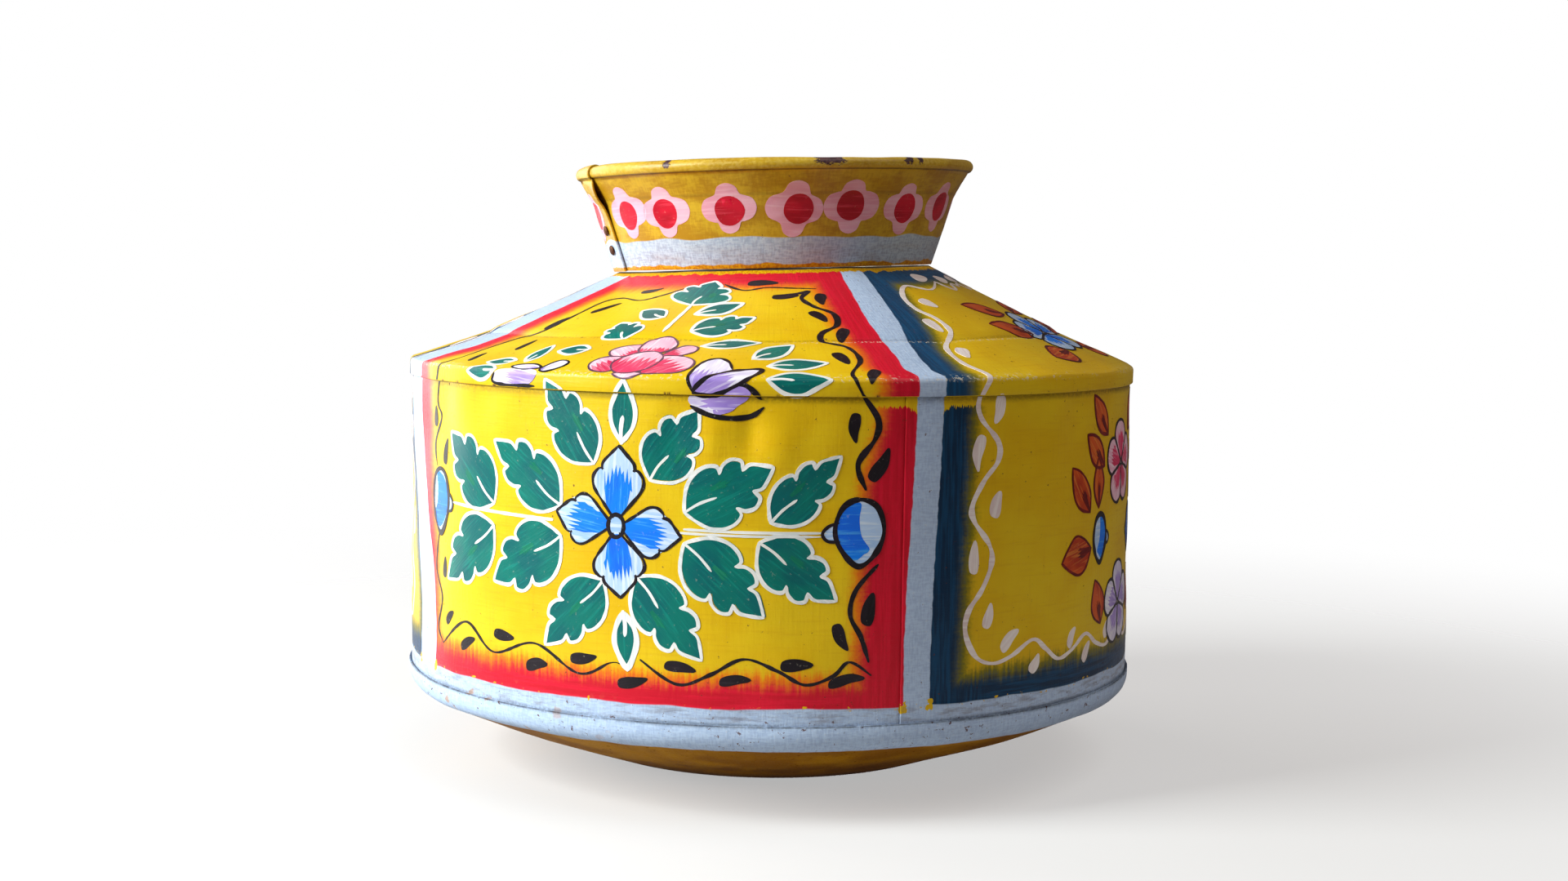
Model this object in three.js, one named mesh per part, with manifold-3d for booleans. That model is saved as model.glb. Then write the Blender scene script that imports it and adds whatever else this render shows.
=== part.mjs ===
// A painted sheet-metal water pot: a drum-shaped body with a conical shoulder, a flared neck and a shallow
// dished bottom. It is cut from flat sheet, rolled, lapped and soldered. The neck's lap is riveted, and the
// mouth's edge is rolled inwards round a wire. Millimetres, +Z up, origin at the centre of the base.
import * as THREE from "three";
import { mergeVertices } from "three/addons/utils/BufferGeometryUtils.js";
import Module from "manifold-3d";

const wasm = await Module();
wasm.setup();

// Driving dimensions.
const SHEET = 0.7; // sheet thickness
const FILM = 0.4; // room between lapped sheets, taken by solder and paint
const TOUCH = 0.3; // gap between pieces that touch
const BODY_R = 150; // outer radius of the wall
const BASE_R = 64; // flat of the base
const BASE_TURN = 12; // how far out, and how high, the base has turned up where the dish starts
const BASE_RISE = 1.6;
const DISH_R = 118; // middle of the dished bottom
const DISH_Z = 16.5;
const ROLL_R = 7; // bottom roll, outer face
const ROLL_Z = 35.4; // where the bottom roll turns vertical
const PAN_TOP_Z = 38.5; // raw edge of the bottom pan's upturned rim
const WALL_LOW_Z = 34.2;
const WALL_TOP_Z = 160.2;
const SKIRT_LOW_Z = 156.6; // raw edge of the shoulder's turned-down skirt
const SKIRT_TOP_Z = 163; // corner of the skirt and the shoulder
const SKIRT_BEND_R = 2.2;
const KNEE_R = 118.8; // the shoulder's two slopes meet at a small step
const KNEE_Z = 174.6;
const KNEE_STEP = 1.1;
const NECK_R = 66.1; // outer face of the neck's lower edge
const NECK_Z = 201.5;
const FLARE_R = 75.2; // where the neck turns out towards the mouth
const FLARE_Z = 230.2;
const NECK_FOOT_OUT = 1.5; // the shoulder's slope ends this far outside and below the neck's edge
const NECK_FOOT_DROP = 1.6;
const COLLAR_HEIGHT = 4; // the shoulder's upturned edge, inside the neck
const BEAD_R = 2.5; // outer radius of the rolled edge
const MOUTH_R = 82.8; // outermost radius of the rolled edge
const HEIGHT = 243.9;
const WIRE_R = 1.45;
const CURL_END = 232; // degrees round the bead where the sheet's edge stops
const SEGMENTS = 72;

// Seam places, in degrees round the axis from the front (-Y) towards +X.
const WALL_SEAM = 41;
const SHOULDER_SEAM = 150;
const NECK_SEAM = -42;
const LAP = 15; // width of a lap, in millimetres
const LAP_INSET = 1.5; // the shoulder's lap stops this far short of its corners
const SLIT = 0.45; // the groove at a lap's visible edge
const STEP = 5; // degrees between the stations of a lapped sheet
const GROOVE_PROUD = 1; // how far a groove's cutter stands out of the sheet on both sides

// The neck's free end, which lies on top of the other.
const FLAP_LAP = 21;
const FLAP_RAMP = 4; // length of sheet in which it climbs onto the layer below
const FLAP_REACH = 0.8; // share of the flare it covers
const FLAP_INSET = 0.4; // how far it stops short of the neck's foot

// Rivets, all along their own axis or from it.
const RIVET_Z = [210.5, 218.5];
const RIVET_BACK = 5.5; // degrees from the neck flap's edge
const RIVET_SHANK_R = 1.1;
const RIVET_HEAD_R = 2.4;
const RIVET_DOME = 1;
const RIVET_FOOT_R = 1.92; // the head hammered over inside the neck
const RIVET_FOOT = 0.8;
const RIVET_HOLE_LENGTH = 12;

// Solder. Rise is along the wall or the neck, and reach is away from it.
const BOTTOM_FILLET_RISE = 5;
const BOTTOM_FILLET_REACH = 2.2;
const SHOULDER_FILLET_DROP = 4;
const SHOULDER_FILLET_REACH = 5;
const NECK_FILLET_RISE = 2.2;
const WALL_BEAD_WIDTH = 2.4;
const WALL_BEAD_CLEAR = [6.5, 5]; // how far it stops short of the wall's lower and upper edges

const OUTER_R = BODY_R + FILM + SHEET; // skirt and pan rim
const STACK = SHEET + FILM; // from one layer of a lap to the next
const degrees = THREE.MathUtils.degToRad;

// ---------------------------------------------------------------- profiles, as (radius, height)

// The unit normal on the left of a polyline's step.
function leftNormal(a, b) {
  return new THREE.Vector2(a.y - b.y, b.x - a.x).normalize();
}

// A polyline moved to its left by a distance, with mitred corners. Negative moves it to its right.
function offsetLeft(points, distance) {
  return points.map((p, i) => {
    const before = i > 0 ? leftNormal(points[i - 1], p) : null;
    const after = i < points.length - 1 ? leftNormal(p, points[i + 1]) : null;
    const mean = (before && after ? before.clone().add(after) : (before ?? after).clone()).normalize();
    const stretch = 1 / mean.dot(before ?? after);
    return p.clone().addScaledVector(mean, distance * stretch);
  });
}

// The closed outline of a sheet whose painted face follows the points, with its thickness on their left.
function sheetOutline(face) {
  const back = offsetLeft(face, SHEET).reverse();
  return [...face, ...back, face[0].clone()];
}

// Points along a circular arc, in degrees from the +radius direction.
function arcPoints(centre, radius, from, to, steps) {
  return Array.from({ length: steps + 1 }, (_, i) => {
    const angle = degrees(from + ((to - from) * i) / steps);
    return new THREE.Vector2(centre.x + radius * Math.cos(angle), centre.y + radius * Math.sin(angle));
  });
}

const at = (radius, height) => new THREE.Vector2(radius, height);

// The direction, in degrees, of the line from a point that touches a circle on the line's left.
function tangentTo(point, centre, radius) {
  const line = centre.clone().sub(point);
  return THREE.MathUtils.radToDeg(line.angle() - Math.asin(radius / line.length()));
}

const bead = at(MOUTH_R - BEAD_R, HEIGHT - BEAD_R);
const flare = at(FLARE_R, FLARE_Z);

// The neck: a straight cone, a wider flare, and a curl inwards round the wire.
function neckFace() {
  const start = tangentTo(flare, bead, BEAD_R) - 90;
  return [at(NECK_R, NECK_Z), flare, ...arcPoints(bead, BEAD_R, start, CURL_END, 12)];
}

// The shoulder: skirt, rounded corner, two slopes with a step between them, and a collar inside the neck.
function shoulderFace() {
  const knee = at(KNEE_R, KNEE_Z);
  const lowSlope = Math.atan2(KNEE_Z - SKIRT_TOP_Z, OUTER_R - KNEE_R);
  const drop = SKIRT_BEND_R * Math.tan(Math.PI / 4 - lowSlope / 2);
  const bend = at(OUTER_R - SKIRT_BEND_R, SKIRT_TOP_Z - drop);
  const corner = arcPoints(bend, SKIRT_BEND_R, 0, 90 - THREE.MathUtils.radToDeg(lowSlope), 3);
  const neck = neckFace();
  const inside = offsetLeft(neck, SHEET + TOUCH);
  const up = inside[1].clone().sub(inside[0]).normalize();
  const root = inside[0].clone().addScaledVector(up, -TOUCH);
  return [
    at(OUTER_R, SKIRT_LOW_Z),
    ...corner,
    knee,
    at(KNEE_R - KNEE_STEP, KNEE_Z + KNEE_STEP),
    at(NECK_R + NECK_FOOT_OUT, NECK_Z - NECK_FOOT_DROP),
    root,
    root.clone().addScaledVector(up, COLLAR_HEIGHT),
  ];
}

// The pan: flat base, dished side, rolled corner and upturned rim.
function panFace() {
  const roll = at(OUTER_R - ROLL_R, ROLL_Z);
  const dish = at(DISH_R, DISH_Z);
  const slope = tangentTo(dish, roll, ROLL_R);
  return [
    at(0, 0),
    at(BASE_R, 0),
    at(BASE_R + BASE_TURN, BASE_RISE),
    dish,
    ...arcPoints(roll, ROLL_R, slope - 90, 0, 5),
    at(OUTER_R, PAN_TOP_Z),
  ];
}

const wallFace = () => [at(BODY_R, WALL_LOW_Z), at(BODY_R, WALL_TOP_Z)];

// ---------------------------------------------------------------- solids

// A full turn of a closed outline round the Z axis, starting at the front.
function turned(outline, segments = SEGMENTS) {
  const ordered = THREE.ShapeUtils.area(outline) > 0 ? outline : [...outline].reverse();
  return new THREE.LatheGeometry(ordered, segments).rotateX(Math.PI / 2);
}

// A patch of sheet that follows a face over part of a turn. At each station, a sheet's painted face lies
// lift(angle) to the right of the face, which is outwards.
function patch(face, stations, lift, thickness = SHEET) {
  const positions = [];
  const index = [];
  const n = face.length;
  for (const angle of stations) {
    const outer = offsetLeft(face, -lift(angle));
    const inner = offsetLeft(face, thickness - lift(angle));
    for (const p of [...outer, ...inner.reverse()]) {
      positions.push(p.x * Math.sin(degrees(angle)), -p.x * Math.cos(degrees(angle)), p.y);
    }
  }
  const ring = 2 * n;
  for (let s = 0; s + 1 < stations.length; s++) {
    for (let i = 0; i < ring; i++) {
      const a = s * ring + i;
      const b = s * ring + ((i + 1) % ring);
      index.push(a, a + ring, b, b, a + ring, b + ring);
    }
  }
  const last = (stations.length - 1) * ring;
  for (let i = 0; i + 1 < n; i++) {
    const [a, b, c, d] = [i, i + 1, ring - 2 - i, ring - 1 - i];
    index.push(a, b, d, b, c, d);
    index.push(last + a, last + d, last + b, last + b, last + d, last + c);
  }
  const geometry = new THREE.BufferGeometry();
  geometry.setAttribute("position", new THREE.Float32BufferAttribute(positions, 3));
  geometry.setIndex(index);
  return geometry;
}

function toSolid(geometry) {
  const bare = geometry.clone();
  bare.deleteAttribute("normal");
  bare.deleteAttribute("uv");
  const merged = mergeVertices(bare, 1e-4);
  return new wasm.Manifold(
    new wasm.Mesh({
      numProp: 3,
      vertProperties: merged.attributes.position.array,
      triVerts: new Uint32Array(merged.index.array),
    }),
  );
}

function toGeometry(solid) {
  const mesh = solid.getMesh();
  const geometry = new THREE.BufferGeometry();
  geometry.setAttribute("position", new THREE.BufferAttribute(mesh.vertProperties, 3));
  geometry.setIndex(new THREE.BufferAttribute(mesh.triVerts, 1));
  geometry.computeVertexNormals();
  return geometry;
}

// Angles from one to another, both included, with no step over the given size.
function spread(from, to, step) {
  const count = Math.max(1, Math.ceil(Math.abs(to - from) / step));
  return Array.from({ length: count + 1 }, (_, i) => from + ((to - from) * i) / count);
}

// The angle that a distance along the circumference takes at a radius, in degrees.
const turnOf = (distance, radius) => THREE.MathUtils.radToDeg(distance / radius);

// A flush lap: a groove through the sheet at the seam, backed by the other end of the sheet, which steps
// down just past the groove and runs on under the sheet for the width of the lap.
function withFlushLap(sheet, face, seam, radius) {
  const slit = turnOf(SLIT, radius);
  const ramp = turnOf(STACK * 1.5, radius);
  const lap = turnOf(LAP, radius);
  const cutter = offsetLeft(face, -GROOVE_PROUD);
  const groove = patch(cutter, [seam, seam + slit], () => 0, SHEET + 2 * GROOVE_PROUD);
  const end = seam + slit + ramp;
  const lift = (angle) => -STACK * THREE.MathUtils.clamp((end - angle) / ramp, 0, 1);
  const stations = [...spread(seam - lap, seam + slit, STEP), end, end + ramp];
  return sheet.subtract(toSolid(groove)).add(toSolid(patch(face, stations, lift)));
}

// The part of a face between two of its points, drawn in a little at both ends.
function within(face, from, to, margin) {
  const run = face.slice(from, to + 1).map((p) => p.clone());
  const pull = (end, next) => end.addScaledVector(next.clone().sub(end).normalize(), margin);
  pull(run[0], run[1]);
  pull(run[run.length - 1], run[run.length - 2]);
  return run;
}

function bodyWall() {
  const face = wallFace();
  return withFlushLap(toSolid(turned(sheetOutline(face))), face, WALL_SEAM, BODY_R);
}

function shoulder() {
  const face = shoulderFace();
  const bend = face.findIndex((p) => p.x < OUTER_R - SKIRT_BEND_R / 2);
  const cone = within(face, bend, face.length - 3, LAP_INSET);
  return withFlushLap(toSolid(turned(sheetOutline(face))), cone, SHOULDER_SEAM, KNEE_R);
}

// The neck's free end lies on top of the other, stands a little proud and is riveted down.
function neckCollar() {
  const face = neckFace();
  const top = face[1].clone().lerp(face[2], FLAP_REACH);
  const flap = within([face[0], face[1], top], 0, 2, FLAP_INSET);
  const back = turnOf(FLAP_LAP, FLARE_R);
  const ramp = turnOf(FLAP_RAMP, FLARE_R);
  const root = NECK_SEAM - back - ramp;
  const lift = (angle) => STACK * THREE.MathUtils.clamp((angle - root) / ramp, 0, 1);
  const stations = [root - ramp / 2, root, ...spread(root + ramp, NECK_SEAM, STEP)];
  const strip = toSolid(patch(flap, stations, lift));
  let collar = toSolid(turned(sheetOutline(face))).add(strip);
  for (const z of RIVET_Z) {
    const radius = RIVET_SHANK_R + TOUCH;
    const hole = new THREE.CylinderGeometry(radius, radius, RIVET_HOLE_LENGTH, 16);
    collar = collar.subtract(toSolid(placeRivet(hole, z)));
  }
  return collar;
}

// ---------------------------------------------------------------- fasteners, wire and solder

// A rivet in its own frame. Its axis is along Y, and its grip runs from y = 0, inside the pot, to the lap's
// outer face.
function rivetGeometry() {
  const low = -TOUCH;
  const high = SHEET + STACK + TOUCH;
  const outline = [
    at(0, low - RIVET_FOOT),
    at(RIVET_FOOT_R, low - RIVET_FOOT),
    at(RIVET_FOOT_R, low),
    at(RIVET_SHANK_R, low),
    at(RIVET_SHANK_R, high),
    at(RIVET_HEAD_R, high),
    at(RIVET_HEAD_R * 0.8, high + RIVET_DOME * 0.7),
    at(RIVET_HEAD_R * 0.4, high + RIVET_DOME),
    at(0, high + RIVET_DOME),
  ];
  return new THREE.LatheGeometry(outline, 20);
}

// Moves a piece whose axis is Y to the neck's lap at a height, square to the neck's inner face.
function placeRivet(geometry, z) {
  const along = at(NECK_R, NECK_Z).lerp(flare, (z - NECK_Z) / (FLARE_Z - NECK_Z));
  const normal = leftNormal(at(NECK_R, NECK_Z), flare).negate();
  const foot = along.clone().addScaledVector(normal, -SHEET);
  const tilt = Math.atan2(normal.y, normal.x);
  return geometry
    .clone()
    .rotateZ(-Math.PI / 2 + tilt)
    .translate(foot.x, foot.y, 0)
    .rotateX(Math.PI / 2)
    .rotateZ(degrees(NECK_SEAM - RIVET_BACK - 90));
}

function rimWire() {
  const section = arcPoints(bead, WIRE_R, 0, 360, 10);
  return turned(section);
}

// A fillet of solder inside the pot, along a corner between two faces.
function ring(corner) {
  return toSolid(turned([...corner, corner[0].clone()]));
}

// Room for the inner layer of sheet at a flush lap.
function lapRoom(face, seam, radius) {
  const stations = spread(seam - turnOf(LAP + TOUCH, radius), seam + turnOf(FLAP_RAMP, radius), STEP);
  return toSolid(patch(face, stations, () => 0, SHEET + STACK + TOUCH));
}

const wallLapRoom = () => lapRoom([at(BODY_R, 0), at(BODY_R, HEIGHT)], WALL_SEAM, BODY_R);

function bottomSolder() {
  const wall = BODY_R - SHEET - TOUCH;
  const floor = offsetLeft(panFace(), SHEET + TOUCH);
  const low = floor.findIndex((p) => p.x > DISH_R + 1);
  const run = floor.slice(low, low + 3).filter((p) => p.x < wall);
  const corner = run[run.length - 1].y + 2;
  const fillet = [
    ...run,
    at(wall, corner),
    at(wall, WALL_LOW_Z + BOTTOM_FILLET_RISE),
    at(wall - BOTTOM_FILLET_REACH, WALL_LOW_Z + 1),
  ];
  return ring(fillet).subtract(wallLapRoom());
}

function shoulderSolder() {
  const wall = BODY_R - SHEET - TOUCH;
  const lowSlope = Math.atan2(KNEE_Z - SKIRT_TOP_Z, OUTER_R - KNEE_R);
  const depth = (SHEET + TOUCH) / Math.cos(lowSlope);
  const under = (radius) => SKIRT_TOP_Z + (OUTER_R - radius) * Math.tan(lowSlope) - depth;
  const inner = wall - SHOULDER_FILLET_REACH;
  const fillet = [
    at(wall, WALL_TOP_Z - SHOULDER_FILLET_DROP),
    at(wall, under(wall)),
    at(inner, under(inner)),
    at(wall - 1.8, WALL_TOP_Z - 0.5),
  ];
  const shoulderLapRoom = lapRoom(shoulderFace().slice(3), SHOULDER_SEAM, KNEE_R);
  return ring(fillet).subtract(wallLapRoom()).subtract(shoulderLapRoom);
}

function neckSolder() {
  const face = offsetLeft([at(NECK_R, NECK_Z), flare], SHEET + TOUCH);
  const up = face[1].clone().sub(face[0]).normalize();
  const edge = face[0].clone().addScaledVector(up, COLLAR_HEIGHT);
  const across = leftNormal(face[0], face[1]);
  const low = edge.clone().addScaledVector(up, 0.1);
  return ring([
    low,
    low.clone().addScaledVector(up, NECK_FILLET_RISE),
    low.clone().addScaledVector(across, SHEET * 1.2).addScaledVector(up, 0.6),
    low.clone().addScaledVector(across, SHEET),
  ]);
}

// Solder along the inner edge of the wall's lap.
function wallSeamSolder() {
  const edge = WALL_SEAM - turnOf(LAP + TOUCH, BODY_R);
  const width = turnOf(WALL_BEAD_WIDTH, BODY_R);
  const inner = BODY_R - SHEET - TOUCH;
  const face = [at(inner, WALL_LOW_Z + WALL_BEAD_CLEAR[0]), at(inner, WALL_TOP_Z - WALL_BEAD_CLEAR[1])];
  return toSolid(patch(face, [edge - width, edge - width / 2, edge], () => 0, STACK));
}

// ---------------------------------------------------------------- the pot

const enamel = new THREE.MeshStandardMaterial({ color: 0xd9b21c, roughness: 0.45, metalness: 0 });
const steel = new THREE.MeshStandardMaterial({ color: 0x8f8f8c, roughness: 0.4, metalness: 1 });
const tin = new THREE.MeshStandardMaterial({ color: 0xa9abac, roughness: 0.5, metalness: 1 });

const pot = new THREE.Group();

function add(name, geometry, material) {
  const mesh = new THREE.Mesh(geometry, material);
  mesh.name = name;
  pot.add(mesh);
}

add("bottom_pan", turned(sheetOutline(panFace())), enamel);
add("body_wall", toGeometry(bodyWall()), enamel);
add("shoulder_cone", toGeometry(shoulder()), enamel);
add("neck_collar", toGeometry(neckCollar()), enamel);
add("rim_wire", rimWire(), steel);
add("neck_rivet_lower", placeRivet(rivetGeometry(), RIVET_Z[0]), steel);
add("neck_rivet_upper", placeRivet(rivetGeometry(), RIVET_Z[1]), steel);
add("bottom_solder", toGeometry(bottomSolder()), tin);
add("shoulder_solder", toGeometry(shoulderSolder()), tin);
add("neck_solder", toGeometry(neckSolder()), tin);
add("wall_seam_solder", toGeometry(wallSeamSolder()), tin);

export default pot;
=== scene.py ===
"""A hand-painted sheet-metal water pot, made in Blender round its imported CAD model.

The four sheets are rebuilt as fine shells with dents, seams and a slightly crooked neck. Broad washes of
enamel are procedural materials. Every flower, leaf and stroke is a thin closed film that lies on its sheet.
Places on the pot are (x, s) in millimetres: x runs round it, measured at the wall's radius from the middle
of a panel, and s runs up the outside from the skirt's lower edge, negative on the wall.
"""
import math
import random

import bpy
import bmesh
from mathutils import Matrix, Vector, noise
from mathutils.geometry import delaunay_2d_cdt


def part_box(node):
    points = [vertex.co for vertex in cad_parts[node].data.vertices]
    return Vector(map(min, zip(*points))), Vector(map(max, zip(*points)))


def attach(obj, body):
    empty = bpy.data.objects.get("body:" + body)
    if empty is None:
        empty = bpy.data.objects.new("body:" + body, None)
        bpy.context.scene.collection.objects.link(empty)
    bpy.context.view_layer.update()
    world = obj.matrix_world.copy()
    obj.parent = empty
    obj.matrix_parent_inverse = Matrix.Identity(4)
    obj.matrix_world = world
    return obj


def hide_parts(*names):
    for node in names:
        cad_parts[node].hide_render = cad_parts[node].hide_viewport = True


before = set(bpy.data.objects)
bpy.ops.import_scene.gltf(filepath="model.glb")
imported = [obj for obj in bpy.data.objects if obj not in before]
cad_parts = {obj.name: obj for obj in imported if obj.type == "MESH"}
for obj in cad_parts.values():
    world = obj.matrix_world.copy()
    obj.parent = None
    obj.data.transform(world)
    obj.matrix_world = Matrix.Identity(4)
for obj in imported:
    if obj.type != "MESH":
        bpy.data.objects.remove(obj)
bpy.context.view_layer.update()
MM = 0.001
hand = random.Random(11)

# ------------------------------------------------------------------ sizes, in millimetres


def node_reach(node):
    """A CAD node's largest radius, lowest z and highest z."""
    low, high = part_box(node)
    return high.x / MM, low.z / MM, high.z / MM


BODY_R, WALL_LOW, WALL_TOP = node_reach("body_wall")
OUTER_R, SKIRT_LOW, _ = node_reach("shoulder_cone")
MOUTH_R, NECK_LOW, TOP_Z = node_reach("neck_collar")
PAN_TOP = node_reach("bottom_pan")[2]
SHEET = 0.7
# Places on the outline as radius and height, and the radii of bends. The knee steps in and up by its step.
KNEE, KNEE_STEP = (118.8, 174.6), 1.1
NECK_R, FLARE = 66.1, (75.2, 230.2)
SKIRT_CORNER_Z, SKIRT_BEND_R = 163.0, 2.2
BASE_R, DISH = 64, (118, 16.5)
ROLL_R, ROLL_Z = 7, 35.4
# The mouth's bead: its radius, and the degrees where its roll starts and ends.
BEAD_R, BEAD_CREASE, CURL_END = 2.5, -62, 232
# Heights of the painted bands' edges, on the body and on the neck.
BAND_TOP, BAND_LOW = 44.5, 28
PALE_TOP, PALE_LOW = 213.3, 203.2
# Angles round the pot in degrees, 0 in the middle of a red panel.
CAMERA_AZIMUTH = 22.5
WALL_SEAM, SHOULDER_SEAM, NECK_SEAM = 41, 150, -42
# How far the neck leans, and how many steps a sheet's full turn has.
NECK_TILT = math.radians(2.0)
SEGMENTS = 480

# ------------------------------------------------------------------ the pot's outline


def arc(centre, radius, start, end, steps):
    """Points along an arc, with angles in degrees from the outward direction."""
    angles = [math.radians(start + (end - start) * i / steps) for i in range(steps + 1)]
    return [(centre[0] + radius * math.cos(a), centre[1] + radius * math.sin(a)) for a in angles]


def tangent(point, centre, radius):
    """The direction, in degrees, from a point to where its line touches a circle on the left."""
    dx, dz = centre[0] - point[0], centre[1] - point[1]
    return math.degrees(math.atan2(dz, dx) - math.asin(radius / math.hypot(dx, dz)))


class Path:
    """An outline that is walked by its length. Its outside is on the right of the walk, times side."""

    def __init__(self, points, side=1):
        self.points, self.side = points, side
        self.marks = [0.0]
        for a, b in zip(points, points[1:]):
            self.marks.append(self.marks[-1] + math.dist(a, b))
        self.length = self.marks[-1]

    def at(self, s):
        """Radius, height and outward normal at a length."""
        i = 0
        while i < len(self.points) - 2 and s > self.marks[i + 1]:
            i += 1
        (r0, z0), (r1, z1) = self.points[i], self.points[i + 1]
        span = self.marks[i + 1] - self.marks[i]
        t = (s - self.marks[i]) / span
        normal = ((z1 - z0) / span * self.side, -(r1 - r0) / span * self.side)
        return r0 + (r1 - r0) * t, z0 + (z1 - z0) * t, normal

    def stations(self, step):
        """Lengths from end to end, every corner included."""
        out = [0.0]
        for a, b in zip(self.marks, self.marks[1:]):
            count = max(1, round((b - a) / step))
            out += [a + (b - a) * (i + 1) / count for i in range(count)]
        return out


def shoulder_points():
    """The shoulder: its skirt, the corner, the slope with a small step in it, and the foot of the neck."""
    knee_r, knee_z = KNEE
    slope = math.degrees(math.atan2(knee_z - SKIRT_CORNER_Z, OUTER_R - knee_r))
    drop = SKIRT_BEND_R * math.tan(math.radians(45 - slope / 2))
    corner = arc((OUTER_R - SKIRT_BEND_R, SKIRT_CORNER_Z - drop), SKIRT_BEND_R, 0, 90 - slope, 6)
    over_r, over_z = knee_r - KNEE_STEP, knee_z + KNEE_STEP
    step = [(knee_r + 1.2, knee_z - 0.15), (knee_r, knee_z + 0.2)]
    step += [(over_r, over_z - 0.1), (over_r - 2, over_z + 1.2)]
    collar = [(NECK_R + 1.5, NECK_LOW - 1.6), (NECK_R - 0.1, NECK_LOW - 0.8), (NECK_R - 1.3, NECK_LOW - 0.2)]
    return [(OUTER_R, SKIRT_LOW), *corner, *step, *collar]


def neck_points():
    """The neck, its flare, and the rolled edge, which stands proud of a crease below it."""
    bead = (MOUTH_R - BEAD_R, TOP_Z - BEAD_R)
    below = (FLARE[0] - 0.5, FLARE[1] - 1.6)
    above = (FLARE[0] + 1.05, FLARE[1] + 1.4)
    roll = arc(bead, BEAD_R, BEAD_CREASE, CURL_END, 22)
    crease = (roll[0][0] - 0.45, roll[0][1] + 0.1)
    return [(NECK_R, NECK_LOW), below, above, crease, *roll]


def pan_points():
    """The bottom pan: its flat base, its dished side and its upturned rim."""
    roll = (OUTER_R - ROLL_R, ROLL_Z)
    slope = tangent(DISH, roll, ROLL_R)
    side = arc(roll, ROLL_R, slope - 90, 0, 12)
    return [(0.02, 0), (BASE_R, 0), (BASE_R + 6, 0.4), (BASE_R + 12, 1.6), DISH, *side, (OUTER_R, PAN_TOP)]


wall_path = Path([(BODY_R, SKIRT_LOW), (BODY_R, WALL_LOW)], side=-1)
hidden_wall_path = Path([(BODY_R, WALL_LOW), (BODY_R, WALL_TOP)])
shoulder_path = Path(shoulder_points())
neck_path = Path(neck_points())
pan_path = Path(pan_points())

# ------------------------------------------------------------------ dents, laps and the crooked neck


def smooth(value, low, high):
    """A soft rise from 0 at low to 1 at high."""
    t = min(1.0, max(0.0, (value - low) / (high - low)))
    return t * t * (3 - 2 * t)


# Knocks under the skirt: degrees round the pot, height, half width, half height, and how far out each goes.
KNOCKS = [
    (9, 142, 5, 9, -1.1), (14.5, 141, 4.5, 10, 0.9), (19.5, 143, 4, 9, -1.2), (24, 138, 6, 9, 0.7),
    (-158, 140, 6, 10, -1.2), (120, 132, 8, 9, -1.0),
]


def dent(p):
    """How far hand beating and knocks move the sheet outwards at a point."""
    knocks = 0.0
    if 110 < p.z < 157:
        run = math.degrees(math.atan2(p.x, -p.y))
        for angle, z, wide, high, depth in KNOCKS:
            off = ((run - angle + 180) % 360 - 180) * BODY_R * math.pi / 180 / wide
            knocks += depth * math.exp(-off * off - ((p.z - z) / high) ** 2)
    broad = noise.noise(p / 42) * 0.75
    fine = noise.noise(p / 17 + Vector((7, 1, 3))) * 0.28
    folds = noise.noise(Vector((p.x / 15, p.y / 15, p.z / 60 + 5))) * 0.7
    near_skirt = smooth(p.z, 118, 146) * (1 - smooth(p.z, 153, 157))
    return (broad + fine + folds * near_skirt) * smooth(p.z, 1, 18) + knocks * (1 - smooth(p.z, 150, 156))


def crooked(p):
    """The neck leans a little, and the shoulder's upper slope goes with it."""
    turn = math.radians(CAMERA_AZIMUTH)
    share = min(1.0, max(0.0, (p.z - SKIRT_CORNER_Z) / (NECK_LOW - SKIRT_CORNER_Z)))
    side = p.x * math.cos(turn) + p.y * math.sin(turn)
    return p + Vector((0, 0, side * math.sin(NECK_TILT) * share))


def flush_lap(angle, seam):
    """A groove at the seam, and the upper sheet a little proud past it."""
    past = (angle - seam + 180) % 360 - 180
    if -0.2 < past < 0:
        return -0.3
    return 0.12 * (1 - smooth(past, 0, 5)) if past >= 0 else 0.0


def neck_lap(angle, s):
    """The neck's free end lies over the other, and gapes near the mouth."""
    back = (NECK_SEAM - angle + 180) % 360 - 180
    if not 0 <= back < 22:
        return 0.0
    gape = 2.0 * math.exp(-(((s - 33) / 7) ** 2)) * (1 - smooth(back, 0, 9))
    over_bead = 1 - 0.3 * smooth(s, 37, 42)
    return (1.1 * (1 - smooth(back, 18, 22)) + gape) * over_bead


class Surface:
    """A stretch of the pot's outside that paint can lie on."""

    def __init__(self, up, down=None, lap=None, creases=()):
        self.up, self.down, self.lap, self.creases = up, down, lap, creases

    def spot(self, s):
        path, length = (self.up, s) if s >= 0 or not self.down else (self.down, -s)
        return path.at(min(max(length, 0), path.length))

    def radius(self, s):
        return self.spot(s)[0]

    def point(self, angle, s, lift, lapped=True):
        """A point over the surface, in millimetres. The angle is in degrees."""
        r, z, (nr, nz) = self.spot(s)
        a = math.radians(angle)
        out = Vector((math.sin(a), -math.cos(a), 0))
        flat = out * r + Vector((0, 0, z))
        if self.lap and lapped:
            lift += self.lap(angle, s)
        lift += dent(flat) * min(1.0, r / 40)
        return crooked(flat + (out * nr + Vector((0, 0, nz))) * lift)


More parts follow.
